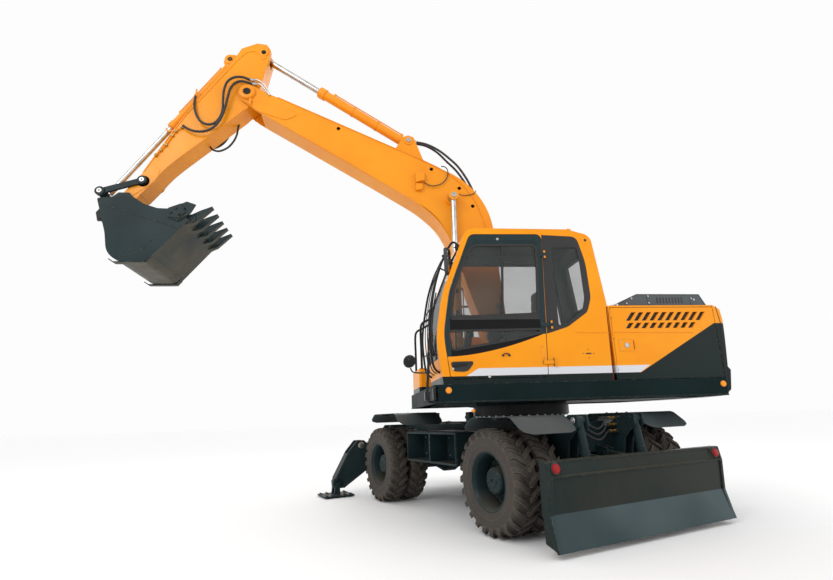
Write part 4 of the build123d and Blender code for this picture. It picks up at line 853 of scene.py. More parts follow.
def draw_arm_hoses():
    """Hoses that cross the arm's pivot: two S loops on the near side, one below, two on the far side."""
    loop_a = [(-3.7, 6.02), (-3.803, 6.037), (-3.915, 6.014), (-4.001, 5.935), (-4.04, 5.8), (-4.044, 5.64),
              (-4.04, 5.5), (-4.06, 5.38), (-4.12, 5.275), (-4.218, 5.235), (-4.325, 5.285), (-4.402, 5.418),
              (-4.441, 5.574), (-4.446, 5.73)]
    loop_b = [(-3.665, 5.955), (-3.804, 5.97), (-3.892, 5.925), (-3.954, 5.825), (-3.986, 5.666),
              (-4.011, 5.504), (-4.056, 5.343), (-4.134, 5.209), (-4.238, 5.136), (-4.367, 5.122),
              (-4.467, 5.152), (-4.56, 5.215)]
    below = [(-3.86, 5.52), (-3.885, 5.4), (-3.9, 5.264), (-3.945, 5.143), (-4.018, 5.047), (-4.126, 4.99),
             (-4.22, 5.01), (-4.27, 5.075)]
    set_off = (0.0, 0.03, 0.045, 0.048, 0.045, 0.04, 0.036, 0.034, 0.034, 0.034, 0.03, 0.02, 0.0, -0.03)
    rows = (
        # name, line, distance from the middle plane, side, radius
        ("near_hose_a", loop_a, 0.19, -1, 0.017), ("near_hose_b", loop_b, 0.186, -1, 0.017),
        ("far_hose_a", loop_a, 0.19, 1, 0.017), ("far_hose_b", loop_b, 0.186, 1, 0.017),
        ("under_hose", below, 0.06, 1, 0.014),
    )
    for name, line, y, out, radius in rows:
        offsets = [0.0] * len(line) if line is below else set_off
        points = [(x, out * (y + off), z) for (x, z), off in zip(line, offsets)]
        tube = piece(Shape().curve(points, radius, 12, 8), name, hose, None)
        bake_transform(tube)
    blocks, ends = Shape(), Shape()
    for out in sides:
        for x, z, y in ((-3.685, 6.02, 0.19), (-3.655, 5.955, 0.188)):
            start = Vector((x + 0.03, out * y, z))
            blocks.lathe([(0.024, -0.01), (0.024, 0.022), (0.018, 0.024), (0.018, 0.05)], start,
                         (-1, 0, 0.1), 6)
            blocks.curve([start, start + X * 0.07, (-3.48, out * 0.192, z - 0.09), (-3.41, out * 0.19, 5.77)],
                         0.0115, 10, 5)
        ends.lathe([(0.024, -0.02), (0.024, 0.03)], (-4.446, out * 0.15, 5.735), Z, 6)
        ends.curve([(-4.446, out * 0.15, 5.76), (-4.447, out * 0.14, 5.82), (-4.455, out * 0.118, 5.86),
                    (-4.462, out * 0.105, 5.88)], 0.012, 10, 5)
    piece(blocks, "boom_tip_unions", bare, "boom", bevel=0.001)
    piece(ends, "arm_side_unions", yellow, "arm", bevel=0.001)


def cylinder_trim(name, body, base, head, length, radius, ys, ports):
    """Gland head with its bolts, end cap weld, port blocks and a pipe along the barrel."""
    way = (head - base).normalized()
    side = Vector((-way.z, 0, way.x))
    if side.z < 0:
        side = -side
    trim, bolts = Shape(), Shape()

    def turned(rows, centre, axis, count=40):
        """Lathe in barrel radii."""
        trim.lathe([(radius * r, radius * w) for r, w in rows], centre, axis, count)

    for y in ys:
        foot = base + Y * y
        neck = foot + way * length
        trim.lathe([(radius * 1.02, -radius * 1.55), (radius * 1.2, -radius * 1.5),
                    (radius * 1.2, -radius * 0.3), (radius * 1.13, 0.001), (radius * 0.74, 0.004),
                    (radius * 0.7, 0.022)], neck, way, 40)
        turned([(1.03, 1.25), (1.06, 1.35), (1.03, 1.5)], foot, way)
        for turn in turns(8):
            bolts.bolt(neck + (side * cos(turn) + Y * sin(turn)) * radius * 0.93, way, radius * 0.11,
                       radius * 0.14)
        for share, out in ports:
            turned([(0.34, 0.9), (0.34, 1.42), (0.26, 1.5)], foot + way * (length * share), side * out, 20)
        start, finish = [foot + way * (length * share) + side * out * radius * 1.38 for share, out in ports]
        trim.tube([start, start + way * radius * 0.5, finish - way * radius * 0.5, finish], radius * 0.13, 10)
        for share in (0.35, 0.62):
            band = [(radius, -0.018), (radius * 1.07, -0.018), (radius * 1.07, 0.018), (radius, 0.018)]
            trim.lathe(band, foot + way * (length * share), way, 40, closed=True)
    pieces(body, False, (trim, f"{name}_trim", yellow, 0.002), (bolts, f"{name}_bolts", bare, 0))


def draw_links():
    """Silver pin ends of the rocker links and the bucket, and the rocker's bosses."""
    silver, dark, bosses = Shape(), Shape(), Shape()
    for out in sides:
        for pin in (rocker_pin, link_joint):
            boss(bosses, pin, out * 0.19, out, 0.062, 0.016)
            pin_end(silver, pin, out * 0.2, out, 0.034, 0.01)
            dark.lathe([(0.01, -0.004), (0.01, 0.002)], (pin.x, out * 0.214, pin.z), Y * out, 16)
    pieces("rocker_links", False, (bosses, "rocker_bosses", slate, 0.002),
           (silver, "rocker_pins", bare, 0.001), (dark, "rocker_grease", black_metal, 0))


draw_boom_trim()
draw_boom_lines()
draw_arm_trim()
draw_arm_hoses()
cylinders = (
    # name, body, foot, head, barrel length, barrel radius, places across, ports as (share of length, side)
    ("arm_cylinder", "arm_barrel", arm_foot, arm_cylinder_head, 1.56, 0.07, (0,), ((0.1, 1), (0.86, 1))),
    ("bucket_cylinder", "bucket_barrel", bucket_cylinder_foot, link_joint, 1.36, 0.058, (0,),
     ((0.12, 1), (0.8, 1))),
    ("boom_cylinders", "boom_barrels", pins["boom_barrel_turn"], boom_cylinder_head, 1.43, 0.06,
     (-boom_cylinder_y, boom_cylinder_y), ((0.1, -1), (0.86, -1))),
)
for row in cylinders:
    cylinder_trim(*row)
draw_links()


# Cab

side_y = -1.235
cab_middle = -0.7975
seam_width = 0.022
most_swell = 0.016
upper_window = [(-1.112, 2.225, 0.05), (-1.062, 2.54, 0.8), (-0.808, 3.17, 0.07), (-0.025, 3.18, 0.06),
                (-0.085, 2.225, 0.05)]
upper_clear = [(-1.092, 2.262, 0.04), (-1.052, 2.56, 0.8), (-0.835, 3.088, 0.15), (-0.062, 3.094, 0.05),
               (-0.112, 2.296, 0.04)]
lower_window = [(-1.118, 1.88, 0.05), (-1.15, 2.095, 0.05), (-0.092, 2.105, 0.012), (-0.096, 2.065, 0.012),
                (-0.42, 1.99, 0.3)]
rear_frit = [(-0.022, 2.05, 0.01), (0.237, 2.128, 0.25), (0.49, 2.3, 0.11), (0.552, 2.47, 0.3),
             (0.54, 2.9, 0.9), (0.462, 3.222, 0.1), (0.03, 3.24, 0.01)]
rear_clear = [(0.128, 2.135, 0.03), (0.255, 2.185, 0.15), (0.435, 2.32, 0.06), (0.476, 2.47, 0.2),
              (0.468, 2.88, 0.6), (0.448, 3.083, 0.03), (0.132, 3.08, 0.03)]
right_window = [(-1.13, 1.95, 0.06), (-1.12, 2.5, 0.5), (-0.85, 3.15, 0.08), (0.48, 3.15, 0.08),
                (0.58, 2.2, 0.08), (0.52, 1.95, 0.06)]
handle_bowl = [(-1.148, 1.756, 0.03), (-0.89, 1.757, 0.02), (-0.896, 1.722, 0.02), (-0.952, 1.657, 0.04),
               (-1.0, 1.646, 0.04), (-1.11, 1.652, 0.04)]


def draw_cab_windows():
    """Printed borders, seals and bars of the door's, side and rear windows."""
    door_frame, door_seals, seals = Shape(), Shape(), Shape()
    edge = drawn_in(upper_clear, -0.03)
    door_frame.hoop(upper_window, edge, across, side_y + 0.001, side_y + 0.009)
    door_seals.hoop(edge, upper_clear, across, side_y - 0.003, side_y + 0.009)
    door_seals.hoop(drawn_in(lower_window, -0.012), drawn_in(lower_window, 0.012), across,
                    side_y - 0.002, side_y + 0.009)
    bars = (
        # outline, how far it stands out, how far it goes in
        ([(-1.108, 2.218), (-0.088, 2.218), (-0.09, 2.276), (-1.106, 2.24)], 0.004, 0.008),
        ([(-0.472, 3.092), (-0.446, 3.092), (-0.506, 2.262), (-0.533, 2.262)], 0.001, 0.009),
        ([(-1.034, 2.53, 0.008), (-1.008, 2.532, 0.008), (-1.01, 2.578, 0.008), (-1.032, 2.577, 0.008)],
         0.006, 0.009),
    )
    for outline, out, inward in bars:
        door_seals.prism(outline, across, side_y - out, side_y + inward)
    seals.hoop(rear_frit, rear_clear, across, side_y - 0.0015, side_y + 0.008)
    seals.hoop(drawn_in(right_window, -0.018), drawn_in(right_window, 0.03), across, -0.371, -0.3585)
    piece(door_frame, "door_window_frame", slate_pale, "cab_door")
    piece(door_seals, "door_window_seals", seal, "cab_door", bevel=0.0015)
    piece(seals, "side_window_borders", seal, "upper")


def draw_door_fittings():
    """Handle with its bowl, catch, hinge plate, door stops and the crescent of its key."""
    bowl, lever, trim, studs, plate = Shape(), Shape(), Shape(), Shape(), Shape()
    bowl.hoop(handle_bowl, drawn_in(handle_bowl, 0.014), across, side_y - 0.006, side_y + 0.004)
    bowl.prism(drawn_in(handle_bowl, 0.013), across, side_y - 0.0015, side_y + 0.004)
    lever.prism([(-1.118, 1.728, 0.012), (-0.958, 1.738, 0.008), (-0.945, 1.722, 0.008), (-1.05, 1.703, 0.03),
                 (-1.112, 1.7, 0.012)], across, side_y - 0.02, side_y - 0.008)
    for x in (-1.1, -0.968):
        lever.box((x - 0.006, side_y - 0.012, 1.708), (x + 0.006, side_y, 1.728))
    studs.lathe([(0.013, 0), (0.013, 0.006), (0.01, 0.008)], (-1.118, side_y, 1.679), -Y, 20)
    for x in (-0.551, -0.48):
        trim.lathe([(0.013, 0), (0.013, 0.01), (0.01, 0.012)], (x, side_y, 1.815), -Y, 16)
    crescent = ((-0.551, 0.01, 1.815), (-0.54, 0.018, 1.829), (-0.515, 0.02, 1.833), (-0.49, 0.018, 1.829),
                (-0.48, 0.01, 1.815))
    trim.curve([(x, side_y - out, z) for x, out, z in crescent], 0.006, 10, 5)
    for x, z in ((-0.511, 3.182), (-0.719, 1.587)):
        studs.lathe([(0.016, 0), (0.016, 0.005), (0.012, 0.009)], (x, side_y, z), -Y, 20)
    plate.box((-0.112, side_y - 0.002, 1.765), (-0.062, side_y + 0.002, 1.925))
    for z in (1.785, 1.905):
        plate.bolt((-0.087, side_y - 0.002, z), -Y, 0.007, 0.006)
    pieces("cab_door", False, (bowl, "door_handle_bowl", black, 0.001),
           (lever, "door_handle", black_metal, 0.003), (trim, "door_catch", black, 0),
           (studs, "door_studs", bare, 0), (plate, "door_hinge_plate", yellow, 0.001))


def draw_cab_outside():
    """Grab rails in front of the screen, mirrors, wiper, plugs, and the roof's cap."""
    rails, dark, faces, cap = Shape(), Shape(), Shape(), Shape()
    rail = [(-1.03, 3.176), (-1.122, 3.022), (-1.181, 2.892), (-1.252, 2.675), (-1.306, 2.409),
            (-1.343, 2.133), (-1.335, 1.897), (-1.309, 1.715), (-1.236, 1.648), (-1.18, 1.655)]
    for y in (-1.12, -0.5):
        rails.curve([(-0.945, y, 3.13)] + at_y(rail, y) + [(-1.125, y, 1.668)], 0.013, 12)
    for number in (2, 4, 6, 8):
        x, z = rail[number]
        rails.bar((x + 0.004, -1.12, z), (x + 0.004, -0.5, z), 0.009, 10)
    for y in (-0.905, -0.71):
        rails.curve([(x + 0.006, y, z) for x, z in rail[2:9]], 0.006)
    # Brackets of the rails at the pillar's top and foot
    for x, z in ((-0.97, 3.115), (-1.175, 1.65)):
        for y in (-1.12, -0.5):
            dark.box((x - 0.028, y - 0.022, z - 0.03), (x + 0.05, y + 0.022, z + 0.03))
            dark.bolt((x - 0.028, y, z), -X, 0.01, 0.01)
    # Mirror on the near pillar
    head = [(-0.07, -0.16, 0.04), (0.07, -0.16, 0.04), (0.07, 0.16, 0.05), (-0.07, 0.16, 0.05)]
    swing = Matrix.Translation((-1.1, -1.175, 2.925)) @ Matrix.Rotation(radians(62), 4, "Z")
    dark.add(Shape().prism(head, across, -0.014, 0.03), swing)
    faces.add(Shape().prism(drawn_in(head, 0.01), across, -0.017, -0.0145), swing)
    rails.curve([(-1.122, -1.12, 3.022), (-1.16, -1.15, 3.0), (-1.15, -1.185, 2.96), (-1.115, -1.18, 2.925)],
                0.009)
    rails.curve([(-1.181, -1.12, 2.892), (-1.19, -1.15, 2.85), (-1.16, -1.185, 2.815),
                 (-1.118, -1.18, 2.83)], 0.009)
    # Wiper across the windscreen
    dark.curve([(-1.262, -0.8, 1.905), (-1.285, -0.86, 2.15), (-1.262, -0.935, 2.42)], 0.009, 8)
    dark.tube([(-1.272, -0.86, 2.03), (-1.278, -0.895, 2.2), (-1.262, -0.935, 2.42), (-1.225, -0.975, 2.6)],
              0.008, 8)
    dark.lathe([(0.028, -0.01), (0.028, 0.02), (0.016, 0.03)], (-1.25, -0.8, 1.9), -X, 20)
    # Key slot with its screws, plug, and the roof's cap
    dark.prism([(0.41, 1.812, 0.006), (0.474, 1.812, 0.006), (0.474, 1.827, 0.006), (0.41, 1.827, 0.006)],
               across, side_y - 0.002, side_y + 0.002)
    dark.lathe([(0.016, 0), (0.016, 0.004), (0.008, 0.006)], (0.572, side_y, 3.179), -Y, 20)
    for x, z in ((0.38, 1.82), (0.504, 1.82), (0.442, 1.772), (0.442, 1.868)):
        dark.lathe([(0.006, 0), (0.006, 0.002)], (x, side_y, z), -Y, 12)
    lamp = Shape().lathe([(0.04, -0.03), (0.04, 0.006), (0.034, 0.028), (0.014, 0.042)],
                         (0.405, -1.165, 3.309), Z, 24)
    for low_y, high_y in ((-1.235, -1.215), (-0.38, -0.36)):
        cap.box((-0.78, low_y, 3.308), (0.35, high_y, 3.318))
    cap.hoop([(-0.62, -1.06, 0.06), (0.06, -1.06, 0.06), (0.06, -0.54, 0.06), (-0.62, -0.54, 0.06)],
             [(-0.59, -1.03, 0.05), (0.03, -1.03, 0.05), (0.03, -0.57, 0.05), (-0.59, -0.57, 0.05)],
             upward, 3.309, 3.322)
    pieces("upper", False, (rails, "grab_rails", black_metal, 0), (dark, "cab_fittings", black, 0.002),
           (faces, "mirror_glass", mirror, 0), (lamp, "roof_lamp", amber, 0),
           (cap, "roof_cap", yellow, 0.003))


def draw_mirror_pole():
    """Rails on the right tanks, and the pole with the round mirror at the cab's corner."""
    rails = Shape()
    rail = [(-1.24, 1.855), (-1.24, 2.15), (-1.24, 2.4), (-1.215, 2.51), (-1.11, 2.572), (-0.84, 2.718),
            (-0.74, 2.755), (-0.6, 2.76), (-0.4, 2.76), (-0.32, 2.735), (-0.3, 2.65), (-0.3, 2.45),
            (-0.3, 2.295)]
    for y in (1.18, 0.47):
        rails.curve(at_y(rail, y), 0.017, 14, 5)
        for x, z in ((-1.24, 1.852), (-0.3, 2.292)):
            rails.box((x - 0.035, y - 0.035, z), (x + 0.035, y + 0.035, z + 0.008))
            for step in (-0.022, 0.022):
                rails.bolt((x + step, y + 0.022, z + 0.008), Z, 0.007, 0.006)
    rails.curve([(-1.386, -1.29, 1.857), (-1.396, -1.29, 1.7), (-1.412, -1.29, 1.5), (-1.422, -1.28, 1.4),
                 (-1.4, -1.25, 1.345), (-1.345, -1.2, 1.335)], 0.014, 12)
    rails.curve([(-1.4, -1.29, 1.64), (-1.48, -1.295, 1.638), (-1.56, -1.298, 1.648), (-1.59, -1.3, 1.69)],
                0.008)
    rails.box((-1.445, -1.315, 1.35), (-1.39, -1.245, 1.44))
    rails.box((-1.418, -1.306, 1.625), (-1.384, -1.274, 1.662))
    for z in (1.372, 1.418):
        rails.bolt((-1.418, -1.315, z), -Y, 0.009, 0.009)
    rails.prism([(-1.345, 1.36), (-1.318, 1.36), (-1.318, 1.5), (-1.345, 1.47)], across, -1.235, -1.165)
    # Round convex mirror
    spot, way = (-1.595, -1.3, 1.76), (-0.42, -0.9, 0.1)
    rails.lathe([(0.066, 0.0), (0.07, 0.008), (0.066, 0.018), (0.05, 0.032), (0.022, 0.042), (0.004, 0.044)],
                spot, way, 32)
    face = Shape().lathe([(0.06, 0.001), (0.06, -0.001), (0.04, -0.005), (0.012, -0.007)], spot, way, 32)
    piece(rails, "rails_and_mirror", black_metal, "upper", replaces=("handrails",))
    piece(face, "round_mirror_glass", mirror, "upper")


def draw_controls():
    """Steering column and wheel, side consoles with levers, pedals, monitor and the floor mat."""
    parts, light = Shape(), Shape()
    middle = cab_middle
    parts.prism([(-0.3, 1.566, 0.03), (0.13, 1.566, 0.03), (0.1, 1.96, 0.04), (-0.27, 1.96, 0.04)],
                across, middle - 0.18, middle + 0.18)
    for number in range(5):
        z = 1.66 + number * 0.055
        parts.prism([(-0.312, z, 0.01), (0.142, z, 0.01), (0.142, z + 0.026, 0.01),
                     (-0.312, z + 0.026, 0.01)],
                    across, middle - 0.19, middle + 0.19)
    console = [(-0.48, 2.06, 0.02), (-0.52, 2.15, 0.03), (-0.5, 2.205, 0.03), (-0.43, 2.23, 0.04),
               (0.12, 2.19, 0.05), (0.13, 1.64, 0.05), (-0.2, 1.6, 0.1)]
    armrest = [(-0.25, 2.225, 0.02), (-0.255, 2.262, 0.02), (0.11, 2.232, 0.03), (0.115, 2.196, 0.02)]
    for side in sides:
        low, high = sorted((middle + side * 0.26, middle + side * 0.35))
        parts.prism(console, across, low, high)
        parts.prism(armrest, across, low - 0.004, high + 0.004)
        y = middle + side * 0.305
        parts.lathe([(0.045, 0), (0.04, 0.02), (0.034, 0.022), (0.03, 0.045), (0.025, 0.047), (0.02, 0.07)],
                    (-0.455, y, 2.205), (-0.33, 0, 0.95), 24)
        parts.bar((-0.47, y, 2.25), (-0.498, y, 2.335), 0.011, 12)
        parts.lathe([(0.018, -0.01), (0.024, 0.015), (0.021, 0.05), (0.026, 0.085), (0.024, 0.105),
                     (0.012, 0.115)],
                    (-0.496, y, 2.325), (-0.2, 0, 0.98), 20)
        low, high = sorted((middle + side * 0.17, middle + side * 0.265))
        parts.box((-0.15, low, 1.64), (0.1, high, 1.9))
        for number in range(3):
            x, z = -0.385 + number * 0.06, 2.222 - number * 0.003
            light.box((x, y - 0.02, z), (x + 0.035, y + 0.02, z + 0.01))
    foot, top = Vector((-0.925, middle, 1.6)), Vector((-0.79, middle, 2.275))
    way = (top - foot).normalized()
    column = [(0.075, 0), (0.062, 0.1), (0.048, 0.35), (0.044, 0.56), (0.05, 0.6), (0.046, 0.635)]
    parts.lathe(column, foot, way, 28)
    first, second = square_to(way)
    rim = [top + way * 0.03 + (first * cos(t) + second * sin(t)) * 0.175 for t in turns(40)]
    parts.tube(rim + rim[:2], 0.014)
    parts.lathe([(0.052, -0.004), (0.05, 0.02), (0.036, 0.028), (0.01, 0.03)], top, way, 28)
    for turn in turns(3):
        out = first * cos(turn + 0.5) + second * sin(turn + 0.5)
        parts.bar(top + way * 0.018 + out * 0.04, top + way * 0.03 + out * 0.17, 0.01, 10)
    parts.bar(top - way * 0.06, top - way * 0.05 + Vector((0.02, 0.2, 0.03)), 0.007, 8)
    parts.box((-1.0, middle - 0.13, 1.566), (-0.83, middle + 0.13, 1.626))
    for side in sides:
        y = middle + side * 0.085
        pedal = Shape().box((-0.055, -0.035, 0), (0.055, 0.035, 0.01))
        for number in range(4):
            x = -0.045 + number * 0.026
            pedal.box((x, -0.033, 0.01), (x + 0.01, 0.033, 0.014))
        parts.add(pedal, Matrix.Translation((-0.905, y, 1.668)) @ Matrix.Rotation(radians(22), 4, "Y"))
        parts.bar((-0.905, y, 1.664), (-0.895, y, 1.62), 0.012, 10)
    parts.prism([(-0.93, 2.3, 0.02), (-0.885, 2.29, 0.02), (-0.86, 2.48, 0.02), (-0.905, 2.49, 0.02)],
                across, -0.56, -0.42)
    parts.bar((-0.9, -0.43, 2.3), (-0.915, -0.425, 1.9), 0.012, 10)
    parts.box((-1.12, -1.17, 1.5662), (0.6, -0.43, 1.572))
    for number in range(24):
        x = -1.08 + number * 0.03
        parts.box((x, -1.15, 1.572), (x + 0.01, -0.45, 1.5745))
    piece(parts, "cab_controls", black, "upper", bevel=0.002, replaces=("console",))
    blind = Shape().prism([(-0.83, 3.215), (-0.905, 3.06), (-0.899, 3.057), (-0.824, 3.212)],
                          across, -1.15, -0.44)
    pieces("upper", False, (light, "console_switches", slate_pale, 0.001), (blind, "sun_blind", black, 0.001))


def apply_all(thing):
    """Give the object its shape as the modifiers leave it, and drop them."""
    graph = bpy.context.evaluated_depsgraph_get()
    graph.update()
    shaped = bpy.data.meshes.new_from_object(thing.evaluated_get(graph))
    shaped.materials.clear()
    shaped.materials.append(seat_cloth[0])
    thing.modifiers.clear()
    thing.data = shaped
    shaped.shade_smooth()


def cushion(name, outline, low, high, seams):
    """Padded cushion: its block is swelled by a short cloth run, then its sewn channels are pressed in."""
    thing = piece(Shape().prism(outline, across, low, high), name, seat_cloth, "upper", sharp=60)
    remesh = thing.modifiers.new("grid", "REMESH")
    remesh.mode = "VOXEL"
    remesh.voxel_size = 0.014
    thing.modifiers.new("settle", "SMOOTH").iterations = 4
    apply_all(thing)
    rest = [v.co.copy() for v in thing.data.vertices]
    settings = thing.modifiers.new("cloth", "CLOTH").settings
    settings.use_pressure = True
    settings.uniform_pressure_force = 4
    settings.effector_weights.gravity = 0
    for number in range(1, 13):
        bpy.context.scene.frame_set(number)
    apply_all(thing)
    bpy.context.scene.frame_set(1)
    for vertex, before in zip(thing.data.vertices, rest):
        move = vertex.co - before
        if move.length > most_swell:
            vertex.co = before + move.normalized() * most_swell
    (left, foot), (right, head) = outline[0], outline[2]
    centre = Vector(((left + right) / 2, (low + high) / 2, (foot + head) / 2))
    for axis, place, depth in seams:
        for vertex in thing.data.vertices:
            off = abs(vertex.co.dot(axis) - place)
            if off < seam_width:
                inward = (centre - vertex.co).normalized()
                vertex.co += inward * depth * (1 - off / seam_width) ** 2
    finer = thing.modifiers.new("finer", "SUBSURF")
    finer.levels = finer.render_levels = 1
    return thing


def draw_seat():
    """Cushions of the seat on its pan."""
    low, high = cab_middle - 0.238, cab_middle + 0.238
    base = [(-0.425, 1.985), (-0.428, 2.065), (0.0, 2.06), (0.04, 1.985)]
    back = [(0.018, 2.075), (0.085, 2.69), (0.18, 2.68), (0.13, 2.04)]
    # Seams as (axis, place along it, depth)
    length_seams = ((Y, cab_middle - 0.12, 0.01), (Y, cab_middle + 0.12, 0.01))
    base_seams = length_seams + ((X, -0.29, 0.008), (X, -0.14, 0.008))
    back_seams = length_seams + ((Z, 2.26, 0.008), (Z, 2.44, 0.008))
    first = cushion("seat_cushion", base, low, high, base_seams)
    cushion("seat_back", back, low + 0.01, high - 0.01, back_seams)
    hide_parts("seat")
    pan = Shape().box((-0.4, cab_middle - 0.2, 1.97), (0.12, cab_middle + 0.2, 1.986))
    pan.prism([(0.11, 1.972, 0.02), (0.15, 1.972, 0.02), (0.202, 2.66, 0.02), (0.172, 2.665, 0.02)],
              across, cab_middle - 0.19, cab_middle + 0.19)
    piece(pan, "seat_frame", black, "upper", bevel=0.003)


draw_cab_windows()
draw_door_fittings()
draw_cab_outside()
draw_mirror_pole()
draw_controls()
draw_seat()


# Carriage: blade, fenders, lockers and stabilisers, drawn before the carriage's turn

stabiliser_pin = (1.18, 0.77)
pad_middle = 1.585
pad_rib_spacing = 0.1
ring_bolt_circle = 0.59


def end_disc(shape, spot, way, radius, low, high, share, count=24):
    """Disc on a pin's end, its edge sloped in to a share of the radius."""
    shape.lathe([(radius, low), (radius, high), (radius * share, high + 0.004)], spot, way, count)


def draw_blade_trim():
    """Ledge, end plates, top strip with its lamps, ribs behind, and the edge bolts."""
    plates, lamps, rings, heads = Shape(), Shape(), Shape(), Shape()
    plates.prism([(1.798, 0.622), (1.822, 0.63), (1.82, 0.642), (1.797, 0.656)], across, -1.25, 1.25)
    plates.prism([(1.778, 0.752), (1.794, 0.752), (1.792, 0.772), (1.778, 0.772)], across, -1.246, 1.246)
    rib = [(1.757, 0.334), (1.83, 0.075), (1.795, 0.07), (1.7, 0.29), (1.69, 0.56), (1.712, 0.655),
           (1.776, 0.632)]
    side_plates = (
        # outline, outer and inner end across
        ([(1.7, 0.1), (1.861, 0.05), (1.798, 0.334), (1.821, 0.632), (1.798, 0.771), (1.7, 0.771)], 1.2485,
         1.212),
        ([(1.786, 0.655), (1.806, 0.66), (1.8, 0.764), (1.78, 0.764)], 1.245, 1.075),
        (rib, 0.62, 0.636),
        (rib, 0.93, 0.946),
    )
    for side in sides:
        for outline, outer, inner in side_plates:
            plates.prism(outline, across, *span(side, outer, inner))
        spot, way = (1.79, side * 1.155, 0.706), (0.99, 0, 0.15)
        rings.lathe([(0.052, 0), (0.052, 0.018), (0.044, 0.022)], spot, way, 28)
        lamps.lathe([(0.044, 0.01), (0.043, 0.03), (0.034, 0.04), (0.016, 0.044)], spot, way, 28)
        for x, z, y, radius in ((1.66, 0.31, 0.5, 0.036), (1.66, 0.69, 0.258, 0.028)):
            end_disc(heads, (x, side * y, z), Y * side, radius, -0.002, 0.01, 0.8)
            heads.bolt((x + 0.004, side * (y + 0.013), z), Y * side, 0.01, 0.01)
    plates.box((1.7, -1.225, 0.455), (1.764, 1.225, 0.535))
    for number in range(10):
        heads.bolt((1.826, -1.125 + number * 0.25, 0.092), (-0.96, 0, -0.27), 0.013, 0.014)
    pieces("blade", True, (plates, "blade_plates", blade_paint_and_reflection, 0.004), (rings, "blade_lamp_rings", black, 0),
           (lamps, "blade_lamps", red, 0), (heads, "blade_bolts", bare, 0.001))


def draw_bracket_pins():
    """Pin ends on the blade's brackets, and the hose brackets with their unions and the hoses between them."""
    ends, unions, plates, hoses = Shape(), Shape(), Shape(), Shape()
    union_heights = (0.97, 1.04, 1.11)
    union = [(0.022, 0), (0.022, 0.05), (0.017, 0.052), (0.017, 0.09), (0.02, 0.092), (0.02, 0.12)]
    for side in sides:
        for x, z, y, radius in ((1.18, 0.36, 0.5, 0.04), (1.42, 1.1, 0.5, 0.034), (1.18, 0.74, 0.26, 0.027)):
            end_disc(ends, (x, side * y, z), Y * side, radius, -0.002, 0.008, 0.85)
            ends.bolt((x, side * (y + 0.011), z), Y * side, 0.011, 0.01)
        for z in union_heights:
            unions.lathe(union, (1.24, side * 0.339, z), Y * -side, 6)
        low, high = span(side, 0.343, 0.325)
        plates.box((1.21, low, 0.94), (1.275, high, 1.14))
    for number, z in enumerate(union_heights):
        sag = 0.085 + number * 0.012
        hoses.curve([(1.24, 0.22, z), (1.245, 0.17, z - 0.01), (1.262, 0.09, z - sag * 0.7),
                     (1.268, 0, z - sag), (1.262, -0.09, z - sag * 0.7), (1.245, -0.17, z - 0.01),
                     (1.24, -0.22, z)], 0.012)
    pieces("chassis", True, (ends, "bracket_pin_ends", bare, 0.001),
           (plates, "hose_brackets", slate_pale, 0.002), (unions, "blade_unions", brass, 0.001),
           (hoses, "blade_hoses", hose, 0))


def bent_plate(shape, path, low, high, thick, radius):
    """Plate along a bent path, its four corners cut round."""
    points = []
    for start, end in zip(path, path[1:]):
        start, end = Vector(start), Vector(end)
        count = max(2, int((end - start).length / 0.03))
        points += [start.lerp(end, step / count) for step in range(count)]
    points.append(Vector(path[-1]))
    lengths = [0.0]
    for a, b in zip(points, points[1:]):
        lengths.append(lengths[-1] + (b - a).length)
    rings = []
    for i, (point, length) in enumerate(zip(points, lengths)):
        way = heading(points, i)
        up = Vector((-way.y, way.x))
        if up.y < 0:
            up = -up
        near = min(length, lengths[-1] - length)
        inset = radius - sqrt(max(radius**2 - max(radius - near, 0) ** 2, 0)) if near < radius else 0.0
        under = point - up * thick
        rings.append([across(*point, low + inset), across(*point, high - inset), across(*under, high - inset),
                      across(*under, low + inset)])
    shape.rings(rings)


def draw_fenders():
    """Bent mudguards with round corners on their posts, instead of the plain CAD ones."""
    guards, posts = Shape(), Shape()
    rows = (
        # path of (x, z), post's middle x
        ([(0.452, 1.022), (0.64, 1.15), (0.69, 1.164), (1.3, 1.164), (1.345, 1.148), (1.533, 0.994)], 0.86),
        ([(-2.228, 1.131), (-2.06, 1.246), (-2.015, 1.257), (-1.345, 1.257), (-1.29, 1.24), (-1.097, 1.09)],
         -1.7),
    )
    for path, middle in rows:
        top = max(z for x, z in path)
        beams = (
            # low and high x, inner and outer end across, low and high z
            (middle - 0.15, middle - 0.11, 0.545, 1.215, top - 0.024, top - 0.007),
            (middle + 0.18, middle + 0.22, 0.545, 1.215, top - 0.024, top - 0.007),
            (middle - 0.05, middle + 0.05, 0.28, 0.338, 1.0803, top - 0.008),
            (middle - 0.05, middle + 0.05, 0.28, 1.09, top - 0.038, top - 0.008),
        )
        for side in sides:
            bent_plate(guards, path, *span(side, 0.525, 1.239), 0.008, 0.115)
            for left, right, inner, outer, foot, head in beams:
                low, high = span(side, inner, outer)
                posts.box((left, low, foot), (right, high, head))
            gusset = [(side * 0.336, top - 0.18), (side * 0.336, top - 0.037), (side * 0.5, top - 0.037)]
            posts.prism(gusset, along, middle - 0.008, middle + 0.008)
            for y in (0.64, 0.82, 1.0):
                posts.bolt((middle, side * y, top), Z, 0.012, 0.008)
    # Mudguards in the paler slate that holds a painted reflection of the floor
    piece(guards, "mudguards", guard_paint_and_reflection, "chassis", bevel=0.002, turned=True, replaces=("fenders",))
    piece(posts, "mudguard_posts", slate, "chassis", bevel=0.003, turned=True)


